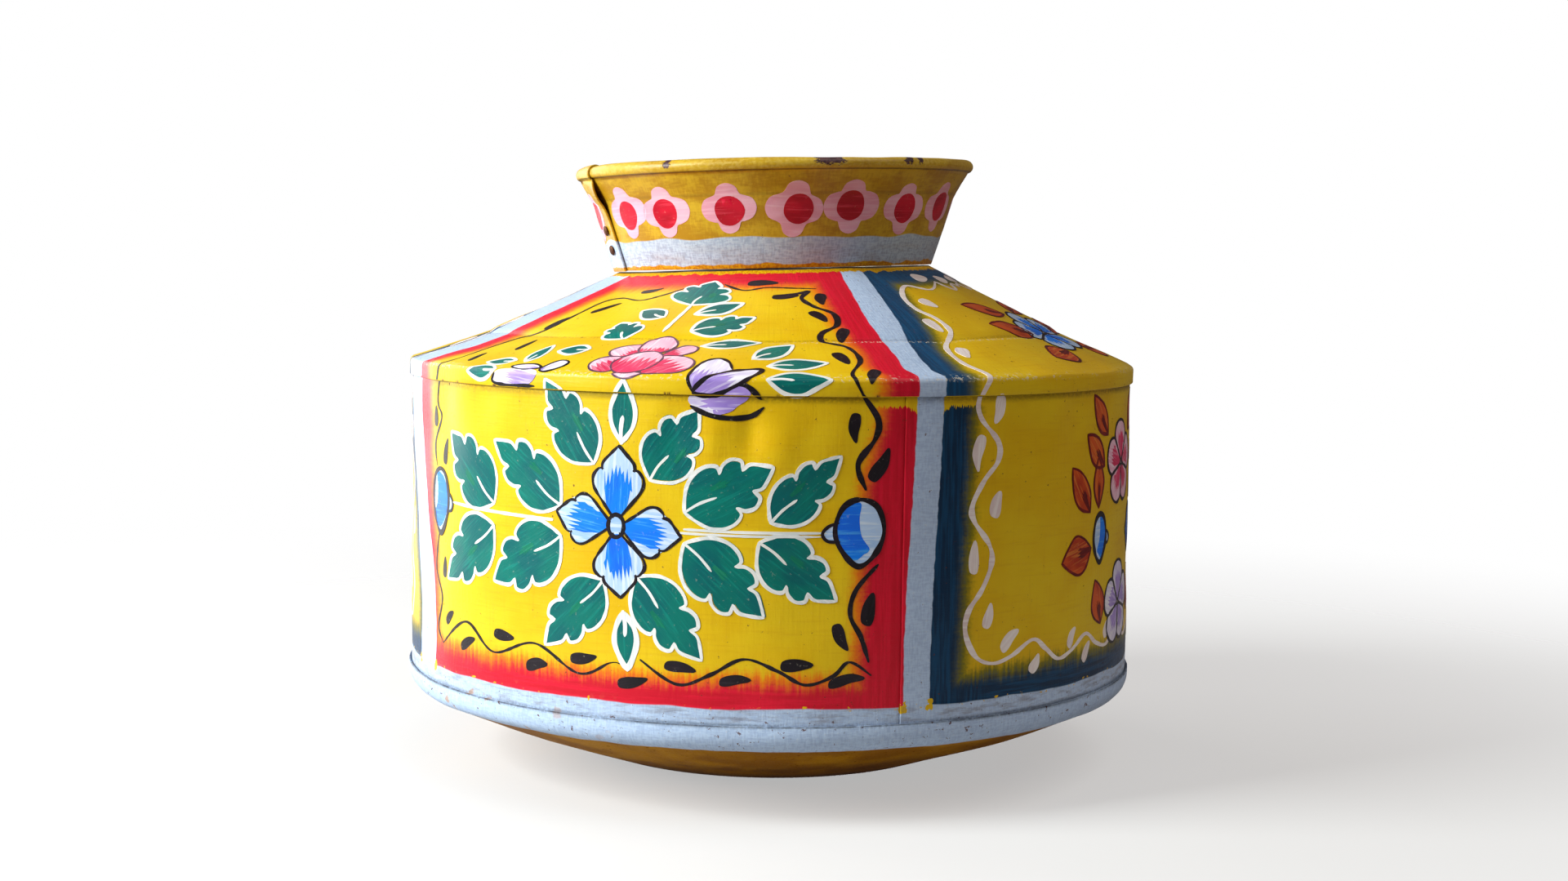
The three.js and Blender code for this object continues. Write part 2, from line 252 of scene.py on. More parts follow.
wall = Surface(hidden_wall_path, lap=lambda angle, s: flush_lap(angle, WALL_SEAM))
shoulder = Surface(shoulder_path, lap=lambda angle, s: flush_lap(angle, SHOULDER_SEAM) if s > 8 else 0)
neck = Surface(neck_path, lap=neck_lap, creases=(neck_path.marks[1], neck_path.marks[2]))
pan = Surface(pan_path)
body = Surface(
    shoulder_path,
    down=wall_path,
    lap=lambda angle, s: wall.lap(angle, s) if s < 0 else shoulder.lap(angle, s),
    creases=shoulder_path.marks[1:12],
)

# ------------------------------------------------------------------ meshes


def add_piece(name, mesh, materials):
    """A mesh as a smooth piece of its own, riding on the pot."""
    for material in materials:
        mesh.materials.append(material)
    mesh.polygons.foreach_set("use_smooth", [True] * len(mesh.polygons))
    piece = bpy.data.objects.new(name, mesh)
    bpy.context.scene.collection.objects.link(piece)
    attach(piece, "root")
    return piece


def make_object(name, verts, faces, materials):
    """A new piece from millimetre vertices."""
    mesh = bpy.data.meshes.new(name)
    mesh.from_pydata([v * MM for v in verts], [], faces)
    return add_piece(name, mesh, materials)


def around(seam=None):
    """Angles of a turn, closer together at a seam's step."""
    angles = [360 * i / SEGMENTS - 180 for i in range(SEGMENTS)]
    if seam is None:
        return angles
    close = [seam + d for d in (-0.21, -0.19, -0.01, 0.01, 0.2)]
    return sorted([a for a in angles if min(abs(a - c) for c in close) > 0.15] + close)


EDGE = [(0.0, -0.25), (0.07, -0.07), (0.25, 0.0)]


def section(path, step):
    """A sheet's section with rounded raw edges: up its painted face, then down its inner face."""
    inside = [(s, 0.0) for s in path.stations(step) if 0.3 < s < path.length - 0.3]
    out = EDGE + inside + [(path.length - s, lift) for s, lift in reversed(EDGE)]
    return out + [(s, -SHEET - lift) for s, lift in reversed(out)]


def shell(name, surface, step, angles, materials, over=None, bare=0):
    """A sheet bent round into a ring. With over, it is an open strip whose last stretch lies over its first.

    The last few rows of its painted face, as many as bare says, are left unpainted.
    """
    loop = section(surface.up, step)
    n, turns = len(loop), len(angles)
    outer = n // 2
    verts = []
    for a in angles:
        for i, (s, lift) in enumerate(loop):
            verts.append(surface.point(a, s, lift, i < outer if over is None else a > over))
    faces = []
    for a in range(turns if over is None else turns - 1):
        b = (a + 1) % turns
        for i in range(n):
            j = (i + 1) % n
            faces.append((a * n + i, b * n + i, b * n + j, a * n + j))
    inner = [outer - bare <= k % n < n - 1 for k in range(len(faces))]
    if over is not None:
        last = (turns - 1) * n
        for i in range(outer - 1):
            faces.append((i + 1, n - 2 - i, n - 1 - i, i))
            faces.append((last + i, last + n - 1 - i, last + n - 2 - i, last + i + 1))
        inner += [False] * (len(faces) - len(inner))
    piece = make_object(name, verts, faces, materials)
    piece.data.polygons.foreach_set("material_index", [int(k) for k in inner])
    return piece


def pan_shell(name, materials):
    """The bottom pan, closed at its centre."""
    stations = [s for s in pan_path.stations(3.5) if s > 1]
    top = pan_path.length
    stations[-1] = top - 0.25
    loop = [(s, 0.0) for s in stations]
    loop += [(top - 0.07, -0.07), (top, -0.25), (top, -0.45), (top - 0.25, -SHEET)]
    outer = len(stations) + 3
    loop += [(s, -SHEET) for s in reversed(stations[:-1])]
    angles = around()
    verts = [pan.point(a, s, lift) for a in angles for s, lift in loop]
    n, turns = len(loop), len(angles)
    faces = []
    for a in range(turns):
        b = (a + 1) % turns
        faces += [(a * n + i, b * n + i, b * n + i + 1, a * n + i + 1) for i in range(n - 1)]
    verts += [Vector((0, 0, 0)), Vector((0, 0, SHEET))]
    under, over = len(verts) - 2, len(verts) - 1
    for a in range(turns):
        b = (a + 1) % turns
        faces += [(under, b * n, a * n), (over, a * n + n - 1, b * n + n - 1)]
    piece = make_object(name, verts, faces, materials)
    for face in piece.data.polygons:
        inner = face.index < turns * (n - 1) and face.index % (n - 1) >= outer
        face.material_index = 1 if inner or face.index >= turns * (n - 1) and face.index % 2 == 1 else 0
    return piece


def metal_copy(node, material, level=1):
    """A fine copy of a small CAD piece that follows the dents and the crooked neck."""
    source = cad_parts[node].data
    box = bmesh.new()
    box.from_mesh(source)
    bmesh.ops.remove_doubles(box, verts=box.verts, dist=1e-6)
    for vert in box.verts:
        p = vert.co / MM
        out = Vector((p.x, p.y, 0)).normalized()
        vert.co = crooked(p + out * dent(p)) * MM
    name = node + "_metal"
    mesh = bpy.data.meshes.new(name)
    box.to_mesh(mesh)
    box.free()
    piece = add_piece(name, mesh, [material])
    if level:
        rounding = piece.modifiers.new("rounding", "SUBSURF")
        rounding.levels = rounding.render_levels = level
    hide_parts(node)
    return piece


# ------------------------------------------------------------------ brush shapes, flat, in millimetres


def curve(points, closed=False, step=1.2):
    """A smooth line through points."""
    n = len(points)
    out = []
    for i in range(n if closed else n - 1):
        near = [(i + k) % n if closed else min(max(i + k, 0), n - 1) for k in (-1, 0, 1, 2)]
        p0, p1, p2, p3 = (Vector(points[k]) for k in near)
        count = max(2, round((p2 - p1).length / step))
        for k in range(count):
            t = k / count
            blend = p1 * 2 + (p2 - p0) * t + (p0 * 2 - p1 * 5 + p2 * 4 - p3) * t * t
            out.append((blend + (p1 * 3 - p0 - p2 * 3 + p3) * t**3) * 0.5)
    return out if closed else out + [Vector(points[-1])]


def stroke(points, width, ends=(0.4, 0.4), closed=False, swell=0.12, squeeze=lambda p: 1.0, flat=0.0):
    """One pull of a brush, as small polygons: thinner at its ends and uneven along its length.

    Squeeze says how much narrower the sheet is at a point than the drawing. Flat says how much a brush that
    is held level thins a line that runs sideways.
    """
    line = curve(points, closed, step=max(0.7, width * 0.5))
    n = len(line)
    phase = hand.uniform(0, 40)
    sides = []
    for i, p in enumerate(line):
        before = line[i - 1 if closed or i else 0]
        after = line[(i + 1) % n if closed else min(i + 1, n - 1)]
        k = squeeze(p)
        along = Vector(((after.x - before.x) * k, after.y - before.y)).normalized()
        t = i / (n - 1)
        press = 1 if closed else min(1, ends[0] + t * 5, ends[1] + (1 - t) * 5)
        half = width / 2 * press * (1 + swell * 2 * noise.noise(Vector((phase, i * 0.22, 0))))
        half *= 1 - flat * (1 - abs(along.y))
        normal = Vector((-along.y / k, along.x)) * half
        sides.append((p + normal, p - normal, Vector((along.x / k, along.y)) * half))
    out = []
    for (a, b, _), (c, d, _) in zip(sides, sides[1:] + (sides[:1] if closed else [])):
        out.append([a, b, d, c])
    if not closed:
        for (a, b, reach), way in ((sides[0], -0.8), (sides[-1], 0.8)):
            out.append([a, b, b * 0.75 + a * 0.25 + reach * way, a * 0.75 + b * 0.25 + reach * way])
    return out


def area(outline):
    """A filled outline, as one polygon."""
    return [[Vector(p) for p in outline]]


def blob(points, step=1.2):
    """A filled shape with a smooth edge through points."""
    return area(curve(points, closed=True, step=step))


def dab(length, width):
    """A short press of a flat brush: blunt where it starts and narrower where it leaves."""
    w, reach = width / 2, length / 2
    bend = hand.uniform(-0.1, 0.1) * length
    outline = [
        (-reach, -w * 0.6), (-reach * 0.5, -w + bend * 0.5), (reach * 0.2, -w * 0.85 + bend),
        (reach * 0.92, -w * 0.35), (reach, w * 0.2), (reach * 0.35, w * 0.8 + bend),
        (-reach * 0.4, w + bend * 0.5), (-reach * 0.94, w * 0.6),
    ]
    return blob(outline, step=0.9)


def dry_patch(start, end, low, high, teeth):
    """A flat brush pulled outwards: a clean start and a ragged end where the paint ran out."""
    out = [(start, -low / 2), ((start + end) / 2, -(low + high) / 4 * 1.1)]
    for i in range(teeth):
        y = -high / 2 + high * (i + 0.5) / teeth
        reach = end * (1 - 0.16 * abs(2 * (i + 0.5) / teeth - 1) - hand.uniform(0, 0.1))
        half = high / teeth / 2
        out += [(reach - (end - start) * hand.uniform(0.12, 0.3), y - half * 0.9), (reach, y)]
    out += [((start + end) / 2, (low + high) / 4 * 1.1), (start, low / 2)]
    return area(out)


# ------------------------------------------------------------------ films of paint


class Place:
    """Where a flat drawing goes: its own origin and turn, on one panel of a surface."""

    def __init__(self, surface, panel, x, s, turn=0.0, flip=1, whole=False, grain=0.0):
        self.surface, self.panel, self.x, self.s, self.flip = surface, panel, x, s, flip
        self.cos, self.sin = math.cos(turn), math.sin(turn)
        self.grain = (math.cos(grain), math.sin(grain))
        self.scale = 1.0 if whole else surface.radius(s) / BODY_R

    def flat(self, p):
        """From the drawing to the unrolled surface near it."""
        return Vector((self.x * self.scale + p[0] * self.cos - p[1] * self.sin,
                       self.s + p[0] * self.sin + p[1] * self.cos))

    def drawn(self, p):
        """From the unrolled surface back to the drawing, along and across the brush."""
        dx, dy = p.x - self.x * self.scale, p.y - self.s
        u, v = dx * self.cos + dy * self.sin, dy * self.cos - dx * self.sin
        along, across = self.grain
        return u * along + v * across, v * along - u * across

    def angle(self, u):
        return self.panel + self.flip * math.degrees(u / self.scale / BODY_R)


# No paint this close to the skirt's lower edge, and the spacing of points inside a film and on a crease.
GAP, GRID, CREASE_STEP = 0.3, 3.5, 2.0
# Each pull of the brush lies this much over the last, and this many steps later the count starts again.
WET_STEP, WET_LAYERS = 0.002, 11


class Film:
    """All the paint of one colour and layer."""

    def __init__(self, name, lift):
        self.name, self.lift = name, lift
        self.spots, self.faces, self.brush = [], [], []
        self.pulls = 0

    def lay(self, place, *drawings, within=(), under=()):
        """Unites flat polygons, cuts them at the skirt's edge, and lays them on the pot.

        With within, only what lies inside those polygons is kept. What lies under a polygon is left out.
        """
        verts, faces, roles = [], [], []
        shapes = [shape for drawing in drawings for shape in drawing]
        for role, polygons in (("paint", shapes), ("within", within), ("under", under)):
            for polygon in polygons:
                flat = [place.flat(p) for p in polygon]
                twice_area = sum(a.cross(b) for a, b in zip(flat, flat[1:] + flat[:1]))
                if abs(twice_area) > 1e-4:
                    faces.append(list(range(len(verts), len(verts) + len(flat))))
                    verts += flat if twice_area > 0 else flat[::-1]
                    roles.append(role)
        low = Vector((min(v.x for v in verts), min(v.y for v in verts)))
        high = Vector((max(v.x for v in verts), max(v.y for v in verts)))
        edges = []
        cuts = [*place.surface.creases, -GAP, GAP] if place.surface.down else place.surface.creases
        for s in cuts:
            if low.y < s < high.y:
                links = max(1, round((high.x - low.x + 2) / CREASE_STEP))
                edges += [(len(verts) + i, len(verts) + i + 1) for i in range(links)]
                verts += [Vector((low.x - 1 + (high.x - low.x + 2) * i / links, s)) for i in range(links + 1)]
        if high.x - low.x > GRID and high.y - low.y > GRID:
            for i in range(1, int((high.x - low.x) / GRID) + 1):
                for j in range(1, int((high.y - low.y) / GRID) + 1):
                    verts.append(low + Vector((i * GRID, j * GRID + 0.3)))
        points, _, tris, _, _, origins = delaunay_2d_cdt(verts, edges, faces, 0, 1e-4)
        first = len(self.spots)
        self.pulls += 1
        lift = self.lift + WET_STEP * (self.pulls % WET_LAYERS)
        used = {}
        for tri, origin in zip(tris, origins):
            middle = sum((points[i].y for i in tri), 0.0) / 3
            covers = {roles[k] for k in origin}
            if "paint" not in covers or "under" in covers or (within and "within" not in covers):
                continue
            if place.surface.down and abs(middle) < GAP:
                continue
            for i in tri:
                if i not in used:
                    used[i] = first + len(used)
                    self.spots.append((place.surface, place.angle(points[i].x), points[i].y, lift))
                    self.brush.append((*place.drawn(points[i]), self.pulls * 7.3))
            order = [used[i] for i in tri]
            self.faces.append(order if place.flip > 0 else order[::-1])

    def make(self, material):
        """The film as a thin closed piece, sunk a little into the sheet."""
        n = len(self.spots)
        verts = [surface.point(a, s, lift) for surface, a, s, lift in self.spots]
        verts += [surface.point(a, s, -0.05) for surface, a, s, _ in self.spots]
        edges = {}
        for a, b, c in self.faces:
            for e in ((a, b), (b, c), (c, a)):
                edges[e] = edges.get(e, 0) + 1
        rims = [(a, b) for a, b in edges if (b, a) not in edges]
        faces = [tuple(f) for f in self.faces]
        faces += [(c + n, b + n, a + n) for a, b, c in self.faces]
        faces += [(b, a, a + n, b + n) for a, b in rims]
        piece = make_object(self.name, verts, faces, [material])
        corners = {frozenset(rim) for rim in rims} | {frozenset((a + n, b + n)) for a, b in rims}
        sharp = [frozenset(edge.vertices) in corners for edge in piece.data.edges]
        piece.data.attributes.new("sharp_edge", "BOOLEAN", "EDGE").data.foreach_set("value", sharp)
        pull = piece.data.attributes.new("brush", "FLOAT_VECTOR", "POINT")
        pull.data.foreach_set("vector", [v for spot in self.brush * 2 for v in spot])
        return piece


vine_black = Film("vine_and_dashes_black", 0.09)
vine_cream = Film("vine_and_dashes_cream", 0.09)
leaf_green = Film("leaves_green", 0.11)
leaf_light = Film("leaves_green_highlights", 0.14)
leaf_orange = Film("leaves_orange", 0.11)
leaf_maroon = Film("leaves_orange_edges", 0.15)
white_line = Film("leaf_outlines_white", 0.17)
petal_pale = Film("petals_pale_blue", 0.12)
petal_blue = Film("petals_blue_strokes", 0.15)
petal_pink = Film("petals_pink", 0.12)
petal_rose = Film("petals_rose_strokes", 0.15)
petal_white = Film("petals_lilac_white", 0.12)
petal_lilac = Film("petals_lilac_strokes", 0.15)
ink = Film("flower_outlines_black", 0.19)
soft_ink = Film("flower_outlines_purple", 0.19)
neck_pink = Film("neck_flowers_pink", 0.1)
neck_crimson = Film("neck_flower_centres", 0.14)

# ------------------------------------------------------------------ flowers and leaves

# One side of a lobed leaf, from its stalk to its tip: along and across it, as shares of its size.
LOBES = [
    [(0.0, 0.0), (0.06, 0.36), (0.15, 0.74), (0.28, 0.98), (0.41, 1.0), (0.5, 0.84), (0.49, 0.6)],
    [(0.49, 0.6), (0.56, 0.8), (0.66, 0.84), (0.74, 0.64), (0.71, 0.36)],
    [(0.71, 0.36), (0.8, 0.42), (0.9, 0.24), (1.0, 0.0)],
]
LEAF_LINE = 1.35

# One side of a star flower's petal, and then its pointed tip, as shares of its size.
PETAL_SIDE = [(0.1, 0.12), (0.26, 0.5), (0.46, 0.95), (0.6, 1.0), (0.7, 0.78), (0.7, 0.6)]
PETAL_POINT = [(0.69, 0.64), (0.78, 0.62), (0.9, 0.3), (1.0, 0.0)]
PETAL_LINE = 1.05

# A bud that looks to the right, as shares of its half width and half height.
BUD_CUP = [(-0.85, 0.3), (-1.25, 0.2), (-1.5, -0.02), (-1.3, -0.24), (-0.8, -0.26)]
BUD_RIM = [
    (0, 1), (0.72, 0.76), (1, 0.05), (0.66, -0.62), (-0.05, -1), (-0.75, -0.5), (-1, 0.1), (-0.68, 0.76),
]
BUD_BLUE = [
    (-0.92, 0.1), (-0.62, 0.7), (0.02, 0.9), (-0.02, 0.4), (0.08, -0.1), (0.42, -0.5), (0.18, -0.64),
    (-0.2, -0.82), (-0.68, -0.48),
]
BLUE_START = 0.92

# The round flowers with five petals.
ASTER_TURNS = [math.radians(20 + 72 * i) for i in range(5)]
ASTER_LENGTH, ASTER_WIDTH, ASTER_LINE = 17, 14.5, 1.1

# The two films of a shaded petal.
SKY = (petal_pale, petal_blue)
ROSE = (petal_pink, petal_rose)
LILAC = (petal_white, petal_lilac)


def narrowing(p):
    """How much narrower the pot is at a place than at its wall."""
    return body.radius(p.y) / BODY_R


def ring(rx, ry, count):
    """Points round an ellipse."""
    return [(rx * math.cos(a), ry * math.sin(a)) for a in (math.tau * i / count for i in range(count))]


def gleam(place, length, width):
    """A lighter pull of green where the brush was wet."""
    y = hand.uniform(-0.2, 0.15) * width
    patch = dry_patch(length * 0.34, length * 0.6, width * 0.06, width * 0.16, 4)
    leaf_light.lay(place, [[p + Vector((0, y)) for p in outline] for outline in patch])


class Panel:
    """Draws on one quarter of the pot. Mirrored panels swap left and right."""

    def __init__(self, angle, flip=1):
        self.angle, self.flip = angle, flip

    def at(self, x, s, turn=0.0):
        return Place(body, self.angle, x, s, turn, self.flip)

    def whole(self, grain=0.0):
        """The whole panel, for drawings whose points are places on it. Grain is the brush's direction."""
        return Place(body, self.angle, 0, 0, 0.0, self.flip, whole=True, grain=grain)

    def between(self, start, end):
        """A place at start that looks towards end, and the distance."""
        scale = body.radius((start[1] + end[1]) / 2) / BODY_R
        dx, ds = (end[0] - start[0]) * scale, end[1] - start[1]
        return self.at(*start, math.atan2(ds, dx)), math.hypot(dx, ds)

    def line(self, film, points, width, ends=(0.4, 0.4), flat=0.0):
        """A long stroke whose points are places on the panel."""
        swell = 0.12 + flat / 4
        film.lay(self.whole(), stroke(points, width, ends, swell=swell, squeeze=narrowing, flat=flat))

    def dabs(self, film, spots, length, width):
        """Short dashes: each spot is x, s and its turn in degrees."""
        for x, s, turn in spots:
            size = hand.uniform(0.8, 1.15)
            film.lay(self.at(x, s, math.radians(turn)), dab(length * size, width * hand.uniform(0.85, 1.1)))

    def patch(self, base, tip, width, reach):
        """A ragged pull of the brush that starts behind base and goes a share of the way to tip."""
        k = narrowing((Vector(base) + Vector(tip)) / 2)
        dx, ds = (tip[0] - base[0]) * k, tip[1] - base[1]
        length, turn = math.hypot(dx, ds), math.atan2(ds, dx)
        out = []
        for p in dry_patch(length * -0.25, length * reach, width * 0.8, width * 1.1, 8)[0]:
            u = p.x * math.cos(turn) - p.y * math.sin(turn)
            v = p.x * math.sin(turn) + p.y * math.cos(turn)
            out.append(Vector((base[0] + u / k, base[1] + v)))
        return [out], turn

    def drawn_petal(self, outline, base, tip, films, width, reach, line, drawn=None, front=(), pen=ink):
        """A petal with its own outline, shaded by a ragged pull from its base towards its tip.

        The petals in front hide it where they lie on it. Drawn is a line to ink in place of the outline.
        """
        fill, tone = films
        rim = curve(outline, closed=True, step=1.0)
        hidden = [curve(other, closed=True, step=1.0) for other in front]
        streaks, turn = self.patch(base, tip, width, reach)
        fill.lay(self.whole(turn), area(rim), under=hidden)
        tone.lay(self.whole(turn), streaks, within=area(rim), under=hidden)
        edge = outline if drawn is None else drawn
        pen.lay(self.whole(), stroke(edge, line, (0.5, 0.5), drawn is None, 0.3, narrowing), under=hidden)

    def lobed_leaf(self, stalk, tip, width):
        """A green leaf with three lobes a side, a white outline and the start of a rib."""
        place, length = self.between(stalk, tip)
        sides = [side * hand.uniform(0.88, 1.1) for side in (1, -1)]
        halves = [[[(x * length, y * side * width / 2) for x, y in lobe] for lobe in LOBES] for side in sides]
        left, right = ([p for lobe in half for p in curve(lobe, step=1.5)] for half in halves)
        slip = Vector((hand.uniform(-0.6, 0.6), hand.uniform(-0.9, 0.9)))
        leaf_green.lay(place, area([p + slip for p in left[:-1] + right[:0:-1]]))
        for lobe in halves[0] + halves[1]:
            white_line.lay(place, stroke(lobe, LEAF_LINE * hand.uniform(0.85, 1.1), (0.6, 0.45)))
        rib = [(0, 0), (length * 0.18, width * 0.02), (length * 0.36, -width * 0.02)]
        white_line.lay(place, stroke(rib, LEAF_LINE * 0.75, (0.9, 0.35)))
        gleam(place, length, width)

    def plain_leaf(self, stalk, tip, width, colour=leaf_green, edge=white_line, line=LEAF_LINE):
        """A leaf with two smooth sides. An orange one is darker towards its stalk."""
        place, length = self.between(stalk, tip)
        w = width / 2
        top = [(0, 0), (length * 0.25, w * 0.8), (length * 0.52, w), (length * 0.8, w * 0.55), (length, 0)]
        low = [(x, -y * hand.uniform(0.85, 1.05)) for x, y in top]
        colour.lay(place, area(curve(top, step=1.3)[:-1] + curve(low, step=1.3)[:0:-1]))
        if colour is leaf_orange:
            edge.lay(place, dry_patch(length * 0.02, length * 0.56, width * 0.1, width * 0.34, 4))
        for side in (top, low):
            edge.lay(place, stroke(side, line * hand.uniform(0.8, 1.2), (0.5, 0.6)))
        rib = [(0, 0), (length * 0.22, w * 0.1), (length * 0.42, 0)]
        edge.lay(place, stroke(rib, line * 0.8, (0.8, 0.35)))

    def star_petal(self, centre, tip, width):
        """A pale petal with two round shoulders, a pointed tip and a blue pull of the brush."""
        place, length = self.between(centre, tip)
        w = width / 2
        for flip in (1, -1):
            wobble = hand.uniform(0.9, 1.08) * flip
            for part, ends in ((PETAL_SIDE, (0.5, 0.5)), (PETAL_POINT, (0.5, 0.7))):
                points = [(x * length, y * w * wobble) for x, y in part]
                ink.lay(place, stroke(points, PETAL_LINE, ends, swell=0.3))
        edge = [(x * length, y * w * 0.97) for x, y in PETAL_SIDE[:-1] + PETAL_POINT[1:]]
        rim = area(curve(edge, step=1.3)[:-1] + curve([(x, -y) for x, y in edge], step=1.3)[::-1])
        petal_pale.lay(place, rim)
        pull = dry_patch(length * 0.1, length * hand.uniform(0.78, 0.88), w * 0.7, w * 1.25, 8)
        petal_blue.lay(place, pull, within=[[p * 0.95 + Vector((length * 0.02, 0)) for p in rim[0]]])

    def star_flower(self, x, s, tips, width):
        """Four petals round a pale eye."""
        for tip in tips:
            self.star_petal((x, s), tip, width)
        eye = ring(3.1, 4.1, 10)
        petal_pale.lay(self.at(x, s), blob([(px * 0.95, py * 0.95) for px, py in eye]))
        ink.lay(self.at(x, s), stroke(eye, 1.5, closed=True, swell=0.25))

    def bud(self, x, s, width, height, facing, cover=1.0):
        """A round bud with a pale side, a blue side and a small cup on the side that faces the stem.

        Cover says how much wider the blue side is than a plain bud's.
        """
        place = self.at(x, s)
        w, h = width / 2, height / 2
        start = w * BLUE_START
        cup, rim = ([(u * w * facing, v * h) for u, v in shape] for shape in (BUD_CUP, BUD_RIM))
        blue = [((-start + (u * w + start) * cover) * facing, v * h) for u, v in BUD_BLUE]
        petal_pale.lay(place, blob(cup), blob(rim))
        petal_blue.lay(place, blob(blue), within=blob(rim))
        ink.lay(place, stroke(cup, 1.2))
        ink.lay(place, stroke(rim, 1.9, closed=True, swell=0.25))

    def aster(self, x, s, films):
        """Five round petals, shaded outwards, and a cream eye."""
        fill, tone = films
        length, width, w = ASTER_LENGTH, ASTER_WIDTH, ASTER_WIDTH / 2
        side = [(0.3, 0.5), (0.62, 1.0), (0.9, 0.72)]
        rim = [(0.06, 0), *side, (1, 0), *((u, -v) for u, v in reversed(side))]
        rim = [(length * u, w * v) for u, v in rim]
        for turn in ASTER_TURNS:
            place = self.at(x, s, turn)
            fill.lay(place, blob(rim))
            tone.lay(place, dry_patch(length * 0.12, length * 0.8, width * 0.16, width * 0.66, 7))
            ink.lay(place, stroke(rim, ASTER_LINE, closed=True, swell=0.3))
        vine_cream.lay(self.at(x, s), blob(ring(2.6, 2.6, 8)))


# Petals as (outline, base, tip, width, reach of the shading), from the back of the flower to the front.
PEONY = [
    ([(0, 7.5), (3, 9.5), (8, 9.5), (11, 8), (7, 5.5), (3, 5.5)],
     (5, 4), (6, 10), 3, 0.3),
    ([(-9, 23.5), (-12, 28), (-9, 32.5), (-2, 35), (3, 34.5), (2, 28.5), (-3, 23.5)],
     (2, 25), (-10, 33), 9, 0.5),
    ([(13, 25), (18, 33), (22, 35), (26, 33.5), (26, 29.5), (22, 26), (17, 24)],
     (14, 25), (27, 33), 8, 0.5),
    ([(1, 28.5), (0, 37.5), (5, 41.5), (11, 42), (15, 38), (16, 33.5), (13, 28.5), (8, 27)],
     (8, 26), (9, 42), 12, 0.45),
    ([(-3, 9.5), (-9, 9.5), (-13, 13), (-14, 17.5), (-11, 22), (-4, 23), (-1, 17)],
     (-2, 10), (-14, 20), 16, 0.8),
    ([(10, 9.5), (13, 23), (18, 25), (24, 24), (28, 20.5), (28, 15), (24, 10), (17, 8.5)],
     (11, 8), (27, 23), 19, 0.82),
    ([(-1, 10), (-5, 17.5), (-2, 24), (4, 28), (10, 28), (14, 24), (14, 18.5), (11, 12), (5, 8.5)],
     (4, 7), (9, 29), 20, 0.82),
]


def red_panel(angle):
    """The red-bordered panel: a blue flower with green leaves, and a peony above on the shoulder."""
    p = Panel(angle)
    star_and_leaves(p)
    peony_and_leaves(p)
    tulips(p)
    black_border(p)


def star_and_leaves(p):
    """The blue flower on the wall, its leaves, and a bud at each end of its stems."""
    for stalk, tip, width in (
        ((-55, -44), (-85, -19), 24), ((-21, -42), (-55, -20), 23), ((-7, -26), (-28, 4), 19),
        ((15, -31), (33, -5), 22), ((28, -42), (60, -25), 22), ((59, -45), (84, -21), 19),
        ((-55, -52), (-87, -76), 22), ((-21, -53), (-55, -73), 24), ((-3, -68), (-28, -94), 22),
        ((10, -66), (35, -95), 22), ((28, -53), (57, -79), 22), ((55, -52), (83, -73), 20),
    ):
        p.lobed_leaf(stalk, tip, width)
    p.plain_leaf((4, -18), (5, 5), 10, line=2)
    p.plain_leaf((5, -79), (7, -100), 9, line=2)
    for points, width in (
        ([(28, -48), (50, -48.5), (79, -48.5)], 1.0),
        ([(26, -49.3), (48, -49.8), (77, -49.8)], 0.9),
        ([(-25, -47.5), (-55, -47), (-84, -46)], 1.2),
    ):
        p.line(white_line, points, width, (0.7, 0.3))
    p.star_flower(2, -48, [(3, -19), (-23, -44), (27, -51), (4, -74)], 19)
    p.bud(91, -48.5, 18, 24, 1)
    p.bud(-93.5, -46.5, 14, 25, -1, 1.42)


def peony_and_leaves(p):
    """The pink flower on the shoulder, under a stem of leaves."""
    p.line(white_line, [(8, 69), (6, 58), (4, 46)], 1.5)
    for stalk, tip, width in (((8, 69), (14, 90), 26), ((-14, 40), (-26, 53), 17), ((18, 47), (51, 59), 15)):
        p.lobed_leaf(stalk, tip, width)
    for stalk, tip, width in (
        ((-2, 58), (-22, 64), 10), ((14, 61), (42, 71), 9), ((27, 35), (54, 39), 8), ((51, 23), (69, 37), 10),
        ((57, 17), (81, 20), 10), ((57, 6), (80, 6), 11), ((-23, 29), (-38, 26), 10),
        ((-46, 15), (-47, 32), 8), ((-52, 16), (-67, 13), 7), ((-54, 7), (-71, 5), 8),
    ):
        p.plain_leaf(stalk, tip, width)
    for i, (outline, base, tip, width, reach) in enumerate(PEONY):
        front = [petal[0] for petal in PEONY[i + 1:]]
        p.drawn_petal(outline, base, tip, ROSE, width, reach, 0.75, front=front, pen=soft_ink)


